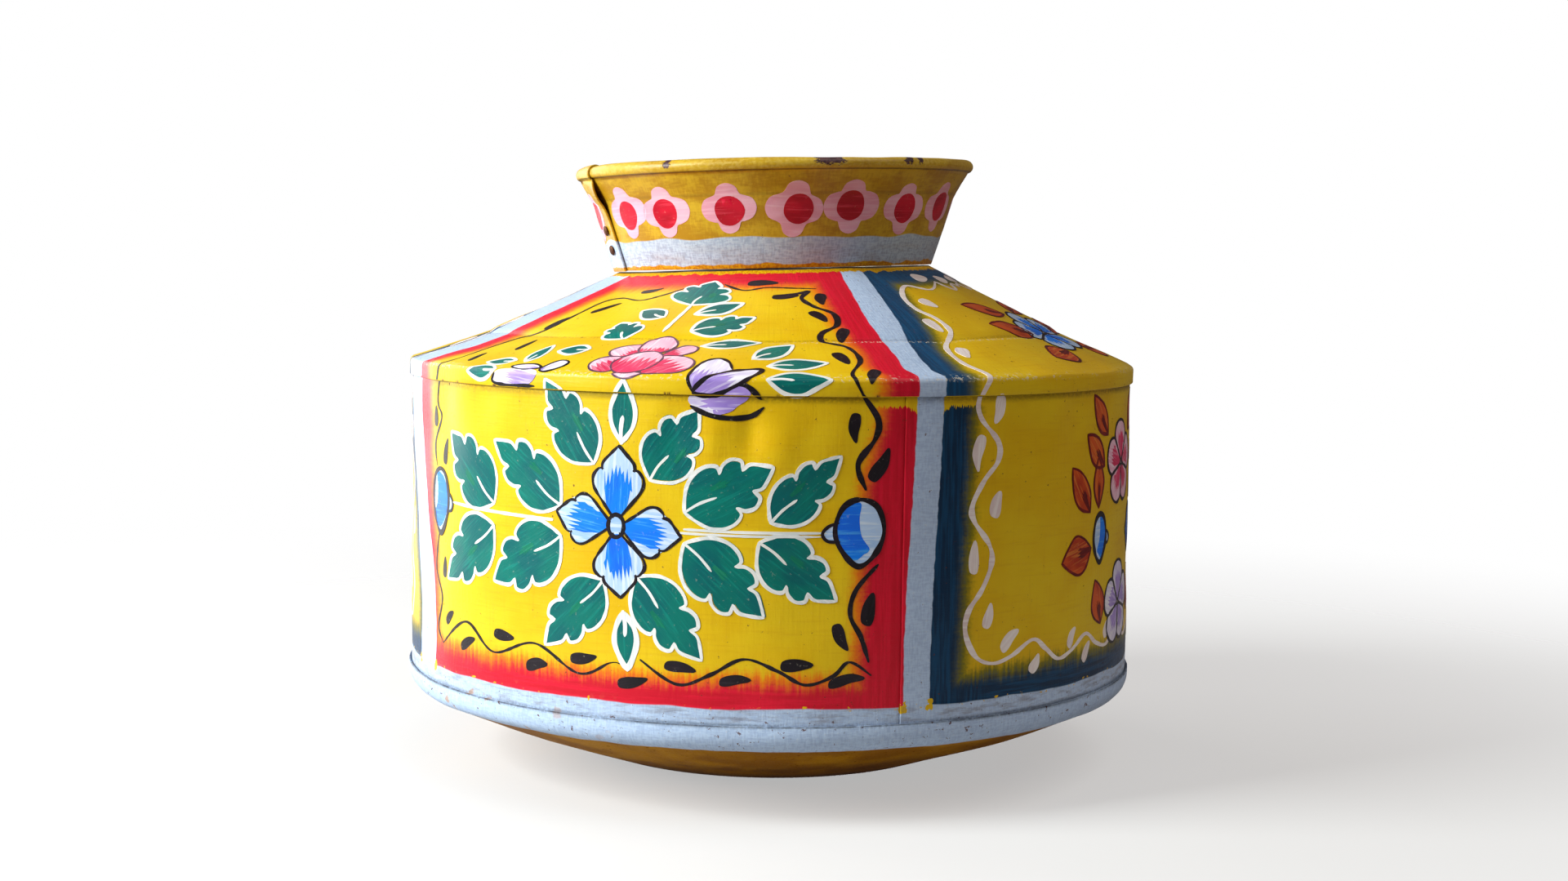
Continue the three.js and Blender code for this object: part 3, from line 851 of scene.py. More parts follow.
def tulips(p):
    """The two lilac flowers at the shoulder's corner. The right one runs onto the wall."""
    back = [(31, 1), (29, 6), (30, 15), (33, 21), (38, 23), (42, 20), (44, 14), (39, 9), (34, 5)]
    middle = [(31, 1), (35, 6), (40, 10), (46, 13), (55, 14), (51, 7), (45, 3), (38, 0)]
    under = [
        (31, 0.5), (38, -0.5), (44, 2), (48, 4), (51.5, 1.5), (50, -1.5), (47, -3.5), (44, -5.8), (38, -7),
        (32, -5), (29, -2),
    ]
    under_top = [(44, 3), (47, 4.5), (51, 3), (55, -1)]
    p.drawn_petal(back, (32, 1), (37, 24), LILAC, 13, 0.6, 1.2, back[:7], [middle])
    p.drawn_petal(middle, (31, 1), (55, 13), LILAC, 13, 0.66, 1.6)
    p.drawn_petal(under, (48, -3), (28, -3), LILAC, 14, 0.8, 1.9, under_top, [middle])
    p.line(ink, [(30, -4), (34, -6), (39, -7.5), (46, -8), (52, -7), (56, -4)], 1.9, (0.4, 0.3))
    for outline, tip in (([(-48, 10), (-45, 12.5), (-38, 13), (-33, 10), (-37, 8), (-43, 8)], (-48, 11)),
                         ([(-32, 8), (-31, 14), (-28, 17), (-24, 16), (-24, 12), (-28, 7)], (-25, 17))):
        p.drawn_petal(outline, (-34, 7), tip, LILAC, 5, 0.35, 0.9)
    cup = [(-55, 2), (-54, 5), (-51, 7), (-44, 8.5), (-36, 8), (-32, 6), (-35, 2), (-41, 1), (-49, 0.8)]
    cup_low = [(-33, 1), (-41, 0.9), (-50, 0.9), (-55, 2), (-54, 5)]
    p.drawn_petal(cup, (-36, 3), (-55, 5), LILAC, 6, 0.7, 1.2, cup_low)


def black_border(p):
    """The wavy vine round the red-bordered panel, and its leaves, which are single dashes."""
    for points, width in (
        ([(-91, 14), (-97, -7), (-94, -14), (-99, -24), (-97, -33)], 1.1),
        ([(-95, -59), (-99, -73), (-93, -84), (-97, -96), (-92, -102)], 1.1),
        ([(-92, -102), (-73, -91), (-55, -100), (-33, -94), (-13, -103), (0, -98), (4, -98)], 1.3),
        ([(12, -96), (26, -104), (38, -100), (50, -94), (62, -98), (72, -103), (82, -100), (88, -95),
          (96, -100)], 1.5),
        ([(91, 1), (97, -8), (96, -15), (90, -24), (93, -33)], 2.0),
        ([(98, -60), (90, -69), (88, -78), (92, -86), (95, -95)], 1.6),
        ([(-91, 14), (-89, 26), (-83, 38), (-74, 45), (-70, 60), (-66, 72), (-53, 76), (-34, 74), (-20, 78),
          (-6, 85)], 1.2),
        ([(22, 87), (38, 82), (54, 84), (72, 83), (89, 82)], 1.2),
        ([(59, 77), (75, 78), (83, 80), (77, 74), (83, 67), (93, 61), (92, 52), (83, 46), (82, 40), (92, 34),
          (94, 22), (88, 10), (91, 1)], 1.8),
    ):
        p.line(vine_black, points, width * 1.15, flat=0.5)
    for spots, length, width in (
        ([(-99, -14, 88), (-89, -27, 80), (-90, -72, 85), (-72, -99, 25), (-86, -91, 40)], 9.5, 3.8),
        ([(-49, -93, -4), (-32, -102, 10), (-11, -97, 8), (9, -104, 12), (27, -98, -8), (47, -102, 6),
          (69, -96, 2), (87, -102, 10)], 12.5, 4.3),
        ([(89, -11, -90), (98, -24, 60), (95, -76, 78), (85, -86, -65)], 12.5, 4.9),
        ([(-35, 83, 20), (-54, 67, 47), (-74, 52, 76), (-67, 32, 86), (-81, 17, 95)], 11, 3.3),
        ([(51, 88, 0), (67, 76, 5), (90, 73, -98), (84, 59, -60), (93, 44, -110), (87, 24, -75),
          (96, 9, -115)], 10, 4.6),
    ):
        p.dabs(vine_black, spots, length, width)


def blue_panel(angle):
    """The blue-bordered panel: a wreath with orange leaves, and a blue flower above. Its halves mirror."""
    half = Panel(angle)
    for p in (half, Panel(angle, -1)):
        cream_border(p)
        orange_leaves(p)
        p.bud(-23, -58, 12, 19, -1)
    for s, films in ((-30, ROSE), (-86, LILAC), (42, SKY)):
        half.aster(0, s, films)


def cream_border(p):
    """Half of the wavy vine round the blue-bordered panel, and its dashes."""
    vine = [
        (-30, 86), (-50, 80), (-70, 84), (-84, 76), (-87, 65), (-81, 56), (-82, 46), (-95, 34), (-97, 20),
        (-93, 9), (-98, -1), (-97, -8), (-89, -17), (-89, -24), (-95, -31), (-100, -40), (-99, -46),
        (-92, -55), (-91, -62), (-95, -71), (-101, -79), (-102, -87), (-97, -96), (-89, -99), (-80, -97),
        (-69, -92), (-62, -96), (-54, -101), (-45, -99), (-34, -94), (-24, -99), (-13, -101), (-5, -95),
        (0, -94),
    ]
    p.line(vine_cream, vine, 2.2, (0.5, 1), 0.45)
    p.line(vine_cream, [(-30, 86), (-18, 79), (-8, 84), (0, 82)], 2.0, (0.5, 1), 0.45)
    for spots, length, width in (
        ([(-89, -5, -104), (-97, -21, -98), (-89, -40, 75), (-99, -59, 88), (-92, -81, 75)], 11.5, 5),
        ([(-81, -91, 40), (-68, -101, 55), (-45, -94, 60), (-33, -101, 55), (-12, -94, 40)], 9.5, 4.8),
        ([(-41, 90, 0), (-12, 88, 0), (-71, 69, -60)], 8.5, 6.2),
        ([(-88, 51, -81), (-89, 29, -106)], 11, 5.4),
    ):
        p.dabs(vine_cream, spots, length, width)


def orange_leaves(p):
    """Half of the wreath, and the three leaves at one side of the flower above it."""
    for stalk, tip, width in (
        ((-16, -18), (-30, -2), 11), ((-20, -30), (-36, -17), 11), ((-25, -46), (-26, -26), 9),
        ((-33, -47), (-47, -29), 12), ((-31, -61), (-53, -65), 15), ((-20, -92), (-27, -74), 12),
        ((-10, 58), (-44, 67), 11), ((-16, 42), (-48, 50), 12), ((-14, 27), (-37, 22), 14),
    ):
        p.plain_leaf(stalk, tip, width, leaf_orange, leaf_maroon, 1.1)


def neck_flowers():
    """A row of round-lobed pink flowers, each with a crimson dot a little off its middle."""
    angles = [-30.5, -13.3, 8.5, 28.8, 46.7, 67.2, 86.7]
    angles += [110.5 + 21.6 * i + hand.uniform(-1.5, 1.5) for i in range(10)]
    for angle in angles:
        place = Place(neck, angle, 0, 24.3 + hand.uniform(-0.5, 0.5), hand.uniform(-0.1, 0.1))
        size = hand.uniform(0.9, 1.0)
        lobes = []
        for k in range(4):
            turn = math.pi / 2 * k
            reach, round_r = (12.4 * size, 6.0 * size) if k % 2 == 0 else (11.8 * size, 5.2 * size)
            reach *= hand.uniform(0.95, 1.05)
            for bend in (-88, -45, 0, 45, 88):
                a = math.radians(bend)
                u, v = reach - round_r + round_r * math.cos(a), round_r * math.sin(a)
                across = u * math.cos(turn) - v * math.sin(turn)
                lobes.append((across, u * math.sin(turn) + v * math.cos(turn)))
        neck_pink.lay(place, blob(lobes))
        dx, dy = hand.uniform(-0.6, 1.4), hand.uniform(-1.6, 0.4)
        dot = [(dx + px, dy + py) for px, py in ring(5.9, 6.1, 9)]
        neck_crimson.lay(place, blob([(px * hand.uniform(0.93, 1.07), py) for px, py in dot]))


# ------------------------------------------------------------------ materials


def shade(red, green, blue):
    """A colour given as eight-bit sRGB."""
    linear = [c / 3294.6 if c <= 10 else ((c / 255 + 0.055) / 1.055) ** 2.4 for c in (red, green, blue)]
    return (*linear, 1.0)


class Field:
    """A number that varies over a surface, and adds and multiplies as one."""

    def __init__(self, finish, socket):
        self.finish, self.socket = finish, socket

    def op(self, kind, *others, clamp=False):
        node = self.finish.node("Math", operation=kind, use_clamp=clamp)
        for socket, value in zip(node.inputs, (self, *others)):
            self.finish.feed(socket, value)
        return Field(self.finish, node.outputs[0])

    def __add__(self, other):
        return self.op("ADD", other)

    def __sub__(self, other):
        return self.op("SUBTRACT", other)

    def __mul__(self, other):
        return self.op("MULTIPLY", other)

    def least(self, other):
        return self.op("MINIMUM", other)

    def most(self, other):
        return self.op("MAXIMUM", other)

    def rest(self):
        """What is missing from one."""
        return self * -1.0 + 1.0

    def shift(self, width):
        """Noise as a push to either side, width in all."""
        return (self - 0.5) * width

    def near(self, value, far, close):
        """1 within close of a value, and 0 further than far from it."""
        return (self - value).op("ABSOLUTE").rise(far, close)

    def rise(self, low, high):
        """0 below low and 1 above high, or the other way round if low is the larger."""
        node = self.finish.node("MapRange", interpolation_type="SMOOTHSTEP")
        first, last = (low, high) if low < high else (high, low)
        ends = (0.0, 1.0) if low < high else (1.0, 0.0)
        for socket, value in zip(node.inputs, (self, first, last, *ends)):
            self.finish.feed(socket, value)
        return Field(self.finish, node.outputs[0])


class Finish:
    """A material made of nodes, with the surface's own places in millimetres."""

    def __init__(self, name):
        self.material = bpy.data.materials.new(name)
        self.material.use_nodes = True
        self.tree = self.material.node_tree
        self.shader = self.tree.nodes["Principled BSDF"]
        place = self.node("TexCoord").outputs["Object"]
        apart = self.node("SeparateXYZ")
        self.feed(apart.inputs[0], place)
        self.x, self.y, self.height = (Field(self, apart.outputs[i]) * 1000.0 for i in range(3))

    def node(self, kind, **settings):
        made = self.tree.nodes.new("ShaderNode" + kind)
        for key, value in settings.items():
            setattr(made, key, value)
        return made

    def feed(self, socket, value):
        value = value.socket if isinstance(value, Field) else value
        if isinstance(value, bpy.types.NodeSocket):
            self.tree.links.new(value, socket)
        else:
            socket.default_value = value

    def noise(self, x, y, z=0.0, detail=2.0, rough=0.55):
        """Cloudy noise from 0 to 1, around one half, whose grains are one unit wide."""
        at = self.node("CombineXYZ")
        for socket, value in zip(at.inputs, (x, y, z)):
            self.feed(socket, value)
        made = self.node("TexNoise")
        settings = {"Vector": at.outputs[0], "Scale": 1.0, "Detail": detail, "Roughness": rough}
        for key, value in settings.items():
            self.feed(made.inputs[key], value)
        return Field(self, made.outputs[0])

    def mix(self, share, first, second):
        node = self.node("Mix", data_type="RGBA")
        self.feed(node.inputs["Factor"], share)
        self.feed(node.inputs[6], first)
        self.feed(node.inputs[7], second)
        return node.outputs[2]

    def coat(self, share, tint):
        """Lays a tint over the colour so far, by a share."""
        self.colour = self.mix(share, self.colour, tint)

    def finish(self, colour, roughness, relief, depth, metallic=0.0):
        """Sets colour, roughness and relief. The relief's depth is in millimetres."""
        self.feed(self.shader.inputs["Base Color"], colour)
        self.feed(self.shader.inputs["Roughness"], roughness)
        self.feed(self.shader.inputs["Metallic"], metallic)
        bump = self.node("Bump")
        bump.inputs["Distance"].default_value = depth * MM
        bump.inputs["Strength"].default_value = 0.8
        self.feed(bump.inputs["Height"], relief)
        self.feed(self.shader.inputs["Normal"], bump.outputs[0])
        return self.material


YELLOW, OCHRE, STRAW = shade(226, 182, 6), shade(200, 138, 2), shade(232, 196, 20)
RED, DEEP_RED, ORANGE = shade(222, 20, 50), shade(172, 2, 14), shade(234, 104, 10)
BLUE, DEEP_BLUE, OLIVE = shade(16, 80, 122), shade(6, 38, 66), shade(92, 98, 16)
PALE_BLUE, GREY_BLUE = shade(190, 212, 238), shade(172, 194, 224)
KHAKI, BROWN_KHAKI = shade(212, 174, 36), shade(180, 134, 14)
# The soot colour darkens dirty seams, and the same colour paints shade in creases and under the skirt.
RUST, STAIN, SOOT_AND_SHADE, BARE = shade(96, 48, 22), shade(186, 140, 96), shade(30, 20, 16), shade(120, 106, 88)
GRIME = shade(112, 98, 100)
UNDERCOAT, CHALK_GREY = shade(226, 218, 196), shade(222, 226, 228)
# The pan's ochre paint, darkened to paint the shade under the pot.
PAN_BROWN, PAN_OCHRE = shade(150, 96, 2), shade(184, 128, 4)


def round_coordinates(f):
    """The angle round the pot in radians, the radius, and the height before the neck was bent."""
    radius = (f.x * f.x + f.y * f.y).op("SQRT")
    angle = f.x.op("ARCTAN2", f.y * -1.0)
    turn = math.radians(CAMERA_AZIMUTH)
    side = f.x * math.cos(turn) + f.y * math.sin(turn)
    share = ((f.height - SKIRT_CORNER_Z) * (1 / (NECK_LOW - SKIRT_CORNER_Z))).op("MULTIPLY", 1.0, clamp=True)
    return angle, radius, f.height - side * share * math.sin(NECK_TILT)


def stripes(angle, radius, on_shoulder, fall):
    """Quarters of a turn, how far a place lies outside its stripe, and if that is the left or the right one.

    The stripes at the left and right of the front panel lean and widen in ways of their own.
    """
    quarter = angle * (2 / math.pi) + 0.5
    stripe = quarter.op("ROUND")
    left, right = stripe.op("COMPARE", 0.0, 0.1), stripe.op("COMPARE", 1.0, 0.1)
    on_wall = on_shoulder.rest()
    near_skirt = radius.rise(130, 150)
    lean_left = on_shoulder * (near_skirt * -6.0 - 4.0) + on_wall * (fall * 18.5 - 10.0)
    lean_right = on_shoulder * ((radius - 116.0) * -0.1 + radius.rise(143, 150) * 3.2)
    lean_right += on_wall * (fall * -3.4 - 0.7)
    lean = left * lean_left + right * lean_right
    quarter = quarter - (lean * (2 / math.pi)).op("DIVIDE", radius)
    off = ((quarter - stripe) * (math.pi / 2) * radius).op("ABSOLUTE")
    half = (radius - 66.0) * 0.033 * on_shoulder + (on_shoulder * -1.35 + 5.8)
    half += left * (on_shoulder * (near_skirt * -4.0 + 5.5) + 3.7)
    half += right * (on_shoulder * (radius.rise(100, 132) * -2.5 + 1.1) - 0.5)
    return quarter, off - half, left, right


def body_enamel(name, gloss=0.32, ior=1.45):
    """Four panels with brushed borders, pale stripes between them and a pale band at the bottom."""
    f = Finish(name)
    f.shader.inputs["Specular IOR Level"].default_value = gloss
    f.shader.inputs["IOR"].default_value = ior
    angle, radius, z = round_coordinates(f)
    run = angle * BODY_R
    fine = f.noise(run * 0.9, z * 0.9, radius * 0.9, detail=3)
    broad = f.noise(run * 0.025, z * 0.03, radius * 0.03, detail=3)
    level = f.noise(run * 0.05, z * 0.85, radius * 0.85, detail=3)
    upright = f.noise(run * 0.85, z * 0.05, radius * 0.05, detail=3)
    weave = f.noise(run * 1.4, z * 0.3, radius * 0.3, detail=2)
    weave += f.noise(run * 0.3, z * 1.4, radius * 1.4, detail=2)
    on_shoulder = z.rise(156, 157.5)
    fall = z.rise(160, 60)
    quarter, side, left, right = stripes(angle, radius, on_shoulder, fall)
    foot = z - BAND_TOP
    top = (radius - 66.5) * 1.118

    # How thickly the brushed borders cover the yellow. Just under the skirt they are nearly bare.
    in_red = quarter.op("FLOORED_MODULO", 2.0).op("LESS_THAN", 1.0)
    border = side + left * (fall * 11.0 + on_shoulder * 2.0) - right * in_red * z.rise(150, 125) * 4.5
    border += on_shoulder * in_red.rest() * 1.5
    edge = (border + level.shift(3.0)).least(foot + 3.5 + upright.shift(9.0)).least(top + upright.shift(6.0))
    wave = f.noise(run * 0.03, z * 0.06, radius * 0.06).shift(3.4)
    wash = (edge + wave + fine.shift(3.0)).rise(20.5, 7.5)
    open_side = angle.op("SINE").rise(-0.35, 0.1)
    teeth = f.noise(run * 1.9, z * 0.15, 6.0, detail=1).shift(3.5) + upright.shift(2.5)
    bare_top = (z + teeth + side.rise(3.5, 0) * 2.2).rise(152.7, 153.3)
    bare_top *= z.rise(SKIRT_LOW + 0.4, SKIRT_LOW) * open_side
    cover = wash * (bare_top * -0.95 + 1.0)

    # The yellow ground, and the borders on it, red or blue.
    f.colour = f.mix(broad.rise(0.38, 0.64), YELLOW, STRAW)
    f.coat(upright.rise(0.55, 0.72) * 0.13 + level.rise(0.52, 0.7) * 0.16, OCHRE)
    f.coat((weave * 0.5).rise(0.5, 0.66) * 0.16, STRAW)
    f.coat(fine.rise(0.66, 0.8) * 0.12, UNDERCOAT)
    streaks = (upright * side.rise(26, 20) + level * side.rise(20, 26)).rise(0.36, 0.6)
    red = f.mix(streaks * 0.35, RED, DEEP_RED)
    # The blue is darker on the wall than on the shoulder as painted shade, and darker still in its brush
    # streaks.
    blue = f.mix(streaks * 0.5 + on_shoulder.rest() * 0.4, BLUE, DEEP_BLUE)
    f.coat(cover.rise(0.0, 0.55) * 0.85, f.mix(in_red, OLIVE, ORANGE))
    f.coat(cover.rise(0.4, 1.0), f.mix(in_red, blue, red))

    # Pale stripes and band with their missed spots, the neck's foot in yellow, the pan's ochre darkened as
    # painted shade.
    pale = f.mix((weave * 0.5).rise(0.38, 0.6), GREY_BLUE, PALE_BLUE)
    pale = f.mix(fine.rise(0.6, 0.72) * 0.35, pale, CHALK_GREY)
    stripe_edge = side + f.noise(z * 0.14, quarter * 3.0, radius * 0.12).shift(1.5)
    foot_edge = foot + f.noise(run * 0.035, 3.0).shift(3.0)
    f.coat(stripe_edge.rise(0.25, -0.25), pale)
    f.coat(foot_edge.rise(0.3, -0.3), pale)
    neck_ring = (top + f.noise(run * 0.12, 8.0, detail=3).shift(7.0)).rise(2.4, 1.9) * on_shoulder
    f.coat(neck_ring, f.mix(fine.rise(0.4, 0.6), OCHRE, YELLOW))
    near_corner = stripe_edge.near(0, 3.2, 0.7) * foot_edge.near(0, 5.0, 0.8)
    on_edge = foot_edge.near(0, 1.6, 0.8) * 0.62
    missed = f.noise(run * 0.3, z * 0.36, 6.0, detail=3) * near_corner.most(on_edge)
    f.coat(missed.rise(0.38, 0.41), YELLOW)
    # The pan's ochre below the band, darkened as painted shade.
    low_edge = z - BAND_LOW + f.noise(run * 0.04, 9.0).shift(4.0)
    f.coat(low_edge.rise(0.4, -0.4), f.mix(broad.rise(0.4, 0.6), PAN_BROWN, PAN_OCHRE))

    spots = body_wear(f, angle, radius, z, fine, broad)
    thick = stripe_edge.least(foot_edge).rise(1.5, 0.0) * 0.5 + 0.1
    relief = upright * 0.5 + level * 0.6 + weave * thick + fine * 0.3
    shine = fine * 0.25 + 0.26 + spots.rise(0.6, 0.72) * 0.25
    return f.finish(f.colour, shine, relief, 0.16)


def body_wear(f, angle, radius, z, fine, broad):
    """Rust, stains, seam dirt, wear, painted shade at the knee and skirt, a painted highlight on its corner.
    Gives back the rust's noise.
    """
    run = angle * BODY_R
    spots = f.noise(run * 0.42, z * 0.42, radius * 0.42, detail=4, rough=0.65)
    low_band = z.rise(49, 40)
    f.coat((spots + low_band * 0.035).rise(0.675, 0.7) * 0.85, RUST)
    stain = f.noise(run * 0.12, z * 0.14, 4.0, detail=3).rise(0.62, 0.68) * low_band
    f.coat(stain * angle.op("SINE").rise(0.2, -0.4) * 0.7, STAIN)
    smudge = f.noise(run * 0.07, z * 0.35, 2.0, detail=5, rough=0.65).rise(0.46, 0.66)
    f.coat(smudge * z.near(41.5, 4.0, 1.0) * 0.55, GRIME)
    seam_grime = z.near(38.4, 1.5, 0.3) * (fine + broad - 0.55).rise(0.2, 0.6)
    # Painted shadow, with some grime, on the wall just under the skirt's lip.
    skirt_shadow_and_grime = z.near(155.8, 2.4, 0.4) * radius.rise(150.6, 150.3) * (broad + fine).rise(0.7, 1.15)
    f.coat(seam_grime.most(skirt_shadow_and_grime) * 0.4, SOOT_AND_SHADE)
    f.coat(z.rise(7, 1) * (fine * 0.5 + 0.5), f.mix(fine.rise(0.4, 0.6), BARE, RUST))
    # Painted shade: a dark line in the knee's crease.
    knee_crease_shade = radius.near(KNEE[0] - 0.2, 0.9, 0.25) * z.rise(172, 173.5)
    f.coat(knee_crease_shade * (fine + 0.2).rise(0.5, 0.8) * 0.3, SOOT_AND_SHADE)
    worn_knee = radius.near(KNEE[0] + 1.2, 1.0, 0.2) * z.rise(170, 172) * angle.op("SINE").rise(0.2, 0.7)
    f.coat(worn_knee * fine.rise(0.53, 0.58) * 0.7, UNDERCOAT)
    lip = z.rise(SKIRT_LOW + 1.3, SKIRT_LOW + 0.3) * radius.rise(150.4, 150.8) * z.rise(152, 153)
    f.coat(lip * f.noise(run * 0.16, 4.0, detail=4).rise(0.58, 0.64), RUST)
    rim = z.rise(PAN_TOP - 0.8, PAN_TOP - 0.2) * radius.rise(150.5, 150.9) * z.rise(60, 50)
    f.coat(rim * (f.noise(run * 0.2, 8.0, detail=3).rise(0.3, 0.6) * 0.4 + 0.3), SOOT_AND_SHADE)
    # Worn specks along the skirt's rounded corner, lighter as a painted highlight there too.
    corner = z.near(SKIRT_CORNER_Z, 1.8, 0.3) * z.rise(156, 157.5)
    f.coat(corner * (fine + broad * 0.4).rise(0.78, 0.86) * 0.6, UNDERCOAT)
    return spots


# Chips in the rolled edge's paint: degrees round the mouth, and half their length.
CHIPS = [(37.7, 5.6), (62, 2.0), (66.5, 1.2), (-8, 1.4), (-70, 3.0), (118, 4.4), (170, 2.2), (-130, 5.0)]


def neck_enamel():
    """Khaki, a pale band with a wavy top, rim wear, painted shade in the creases and a painted highlight on
    the bead.
    """
    f = Finish("neck_enamel")
    f.shader.inputs["Specular IOR Level"].default_value = 0.4
    angle, radius, z = round_coordinates(f)
    run = angle * NECK_R
    fine = f.noise(run * 0.9, z * 0.9, radius * 0.5, detail=3)
    level = f.noise(run * 0.07, z * 0.8, detail=3)
    upright = f.noise(run * 0.7, z * 0.12, detail=3)
    weave = f.noise(run * 1.3, z * 0.35, detail=2) + f.noise(run * 0.35, z * 1.3, detail=2)
    broad = f.noise(run * 0.06, z * 0.11, detail=3)
    ragged = f.noise(run * 0.42, z * 0.8, 7.0, detail=4, rough=0.65)

    f.colour = f.mix((broad * 0.6 + weave * 0.2).rise(0.4, 0.6), BROWN_KHAKI, KHAKI)
    f.coat(level.rise(0.52, 0.72) * 0.3, shade(208, 176, 50))
    f.coat(upright.rise(0.56, 0.74) * 0.22, BROWN_KHAKI)
    pale = f.mix((weave * 0.5).rise(0.4, 0.6), shade(168, 188, 212), shade(198, 216, 232))
    dirty = f.noise(run * 0.05, z * 0.25, 3.0, detail=4).rise(0.4, 0.7) * 0.3
    dirty += (weave * 0.5).rise(0.5, 0.36) * 0.2
    pale = f.mix(dirty * z.rise(214, 206), pale, shade(150, 122, 104))
    top_edge = z - PALE_TOP + f.noise(run * 0.032, 2.0, detail=1).shift(9.0)
    f.coat(top_edge.rise(0.3, -0.3), pale)
    low_edge = z - PALE_LOW + f.noise(run * 0.07, 5.0, detail=3).shift(6.0)
    f.coat(low_edge.rise(0.25, -0.25), f.mix(fine.rise(0.4, 0.6), shade(222, 164, 10), shade(190, 120, 6)))

    # The bead's top is lighter: rubbed paint and a painted highlight.
    bead_rub_and_highlight = f.mix(fine.rise(0.4, 0.65), shade(196, 160, 40), shade(222, 196, 96))
    f.coat(z.rise(239.0, 240.2) * (level.rise(0.35, 0.6) * 0.4 + 0.15), bead_rub_and_highlight)
    # Painted shade in the crease under the bead.
    f.coat(z.near(239.2, 0.45, 0.1) * (fine * 0.5 + 0.35), SOOT_AND_SHADE)
    chip = 0.0
    for place, half in CHIPS:
        away = (angle - math.radians(place)).op("ABSOLUTE") * MOUTH_R + ragged.shift((half + 1.5) * 2.0)
        chip = away.rise(half + 0.15, half - 0.15).most(chip)
    chip *= (z + ragged.shift(7.0)).rise(240.9, 241.3)
    f.coat(chip, f.mix(fine.rise(0.4, 0.6), shade(64, 38, 44), shade(92, 60, 60)))
    f.coat(f.noise(run * 0.4, z * 0.4, detail=4, rough=0.65).rise(0.69, 0.71) * 0.7, RUST)
    # Painted shade in the crease where the neck flares.
    f.coat(z.near(FLARE[1], 0.9, 0.2) * 0.18, SOOT_AND_SHADE)
    relief = upright * 0.3 + level * 0.5 + weave * 0.4 + fine * 0.2 - chip * 1.5
    return f.finish(f.colour, fine * 0.25 + 0.28, relief, 0.16)


def bare_metal(name, tone, tarnish, roughness=0.42):
    """Dull sheet metal with stains."""
    f = Finish(name)
    cloud = f.noise(f.x * 0.05, f.y * 0.05, f.height * 0.05, detail=4)
    grain = f.noise(f.x * 0.9, f.y * 0.9, f.height * 0.9, detail=3)
    f.colour = f.mix(cloud.rise(0.4, 0.62), tone, tarnish)
    f.coat((cloud * 0.5 + grain * 0.5).rise(0.57, 0.63), RUST)
    return f.finish(f.colour, grain * 0.3 + (roughness - 0.12), grain + cloud, 0.12, metallic=0.75)


def brush_enamel(name, tones, streak=0.35, lean=0.5):
    """Thick enamel from one brush: two tones that drift, and a third that shows in streaks along each pull."""
    f = Finish(name)
    f.shader.inputs["Specular IOR Level"].default_value = 0.3
    pull = f.node("Attribute", attribute_name="brush")
    apart = f.node("SeparateXYZ")
    f.feed(apart.inputs[0], pull.outputs["Vector"])
    along, across, seed = (Field(f, apart.outputs[i]) for i in range(3))
    drift = f.noise(along * 0.06, across * 0.09, seed, detail=2)
    lines = f.noise(along * 0.07, across * 0.95, seed, detail=3)
    grain = f.noise(f.x * 0.8, f.y * 0.8, f.height * 0.8, detail=3)
    f.colour = f.mix(drift.rise(0.36, 0.64), tones[0], tones[1])
    f.coat(lines.rise(lean, lean + 0.16) * streak, tones[2])
    f.coat(grain.rise(0.64, 0.76) * 0.18, UNDERCOAT)
    return f.finish(f.colour, grain * 0.2 + 0.26, lines * 0.8 + grain * 0.4, 0.16)


# ------------------------------------------------------------------ the sheets, the solder and the paint

body_paint, neck_paint = body_enamel("body_enamel"), neck_enamel()
pan_paint = body_enamel("pan_enamel", 0.1, 1.2)
inside = bare_metal("inside_metal", shade(128, 122, 112), shade(92, 80, 66), 0.5)
inside_pair = [body_paint, inside]

neck_turn = [NECK_SEAM - 378 + 0.75 * i for i in range(505)]
sheets = [
    ("bottom_pan", pan_shell("bottom_pan_sheet", [pan_paint, inside])),
    ("body_wall", shell("body_wall_sheet", wall, 2.6, around(WALL_SEAM), inside_pair)),
    ("shoulder_cone", shell("shoulder_cone_sheet", shoulder, 2.6, around(SHOULDER_SEAM), inside_pair, bare=4)),
    ("neck_collar", shell("neck_collar_sheet", neck, 1.8, neck_turn, [neck_paint, inside], NECK_SEAM - 30)),
]
for node, sheet in sheets:
    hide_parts(node)

solder = bare_metal("solder_grey", shade(150, 150, 148), shade(96, 92, 86), 0.4)
wire = bare_metal("rim_wire_steel", shade(120, 112, 104), shade(80, 66, 54), 0.45)
rivet = bare_metal("rivet_rusted", shade(104, 66, 44), shade(66, 36, 24), 0.6)
for node in ("bottom_solder", "shoulder_solder", "neck_solder", "wall_seam_solder"):
    metal_copy(node, solder, 0)
metal_copy("rim_wire", wire)
for node in ("neck_rivet_lower", "neck_rivet_upper"):
    metal_copy(node, rivet, 2)

for angle in (0, 180):
    red_panel(angle)
for angle in (90, -90):
    blue_panel(angle)
neck_flowers()

GREENS = (shade(0, 98, 98), shade(0, 114, 102), shade(14, 148, 132))
WET_GREENS = (shade(4, 112, 88), shade(6, 120, 92), shade(40, 146, 112))
CHALK = (shade(240, 240, 232), shade(222, 228, 226), shade(252, 252, 250))
PINKS = (shade(246, 194, 212), shade(240, 168, 194), shade(254, 232, 238))
ROSES = (shade(228, 54, 104), shade(214, 40, 88), shade(250, 172, 198))
BLUES = (shade(14, 128, 246), shade(22, 108, 234), shade(90, 190, 252))
PALES = (shade(184, 212, 245), shade(160, 196, 238), shade(226, 238, 250))
LILACS = (shade(176, 150, 222), shade(150, 124, 206), shade(226, 214, 244))
WHITES = (shade(232, 226, 244), shade(206, 196, 234), shade(250, 248, 252))
ORANGES = (shade(216, 88, 22), shade(180, 52, 16), shade(236, 150, 60))
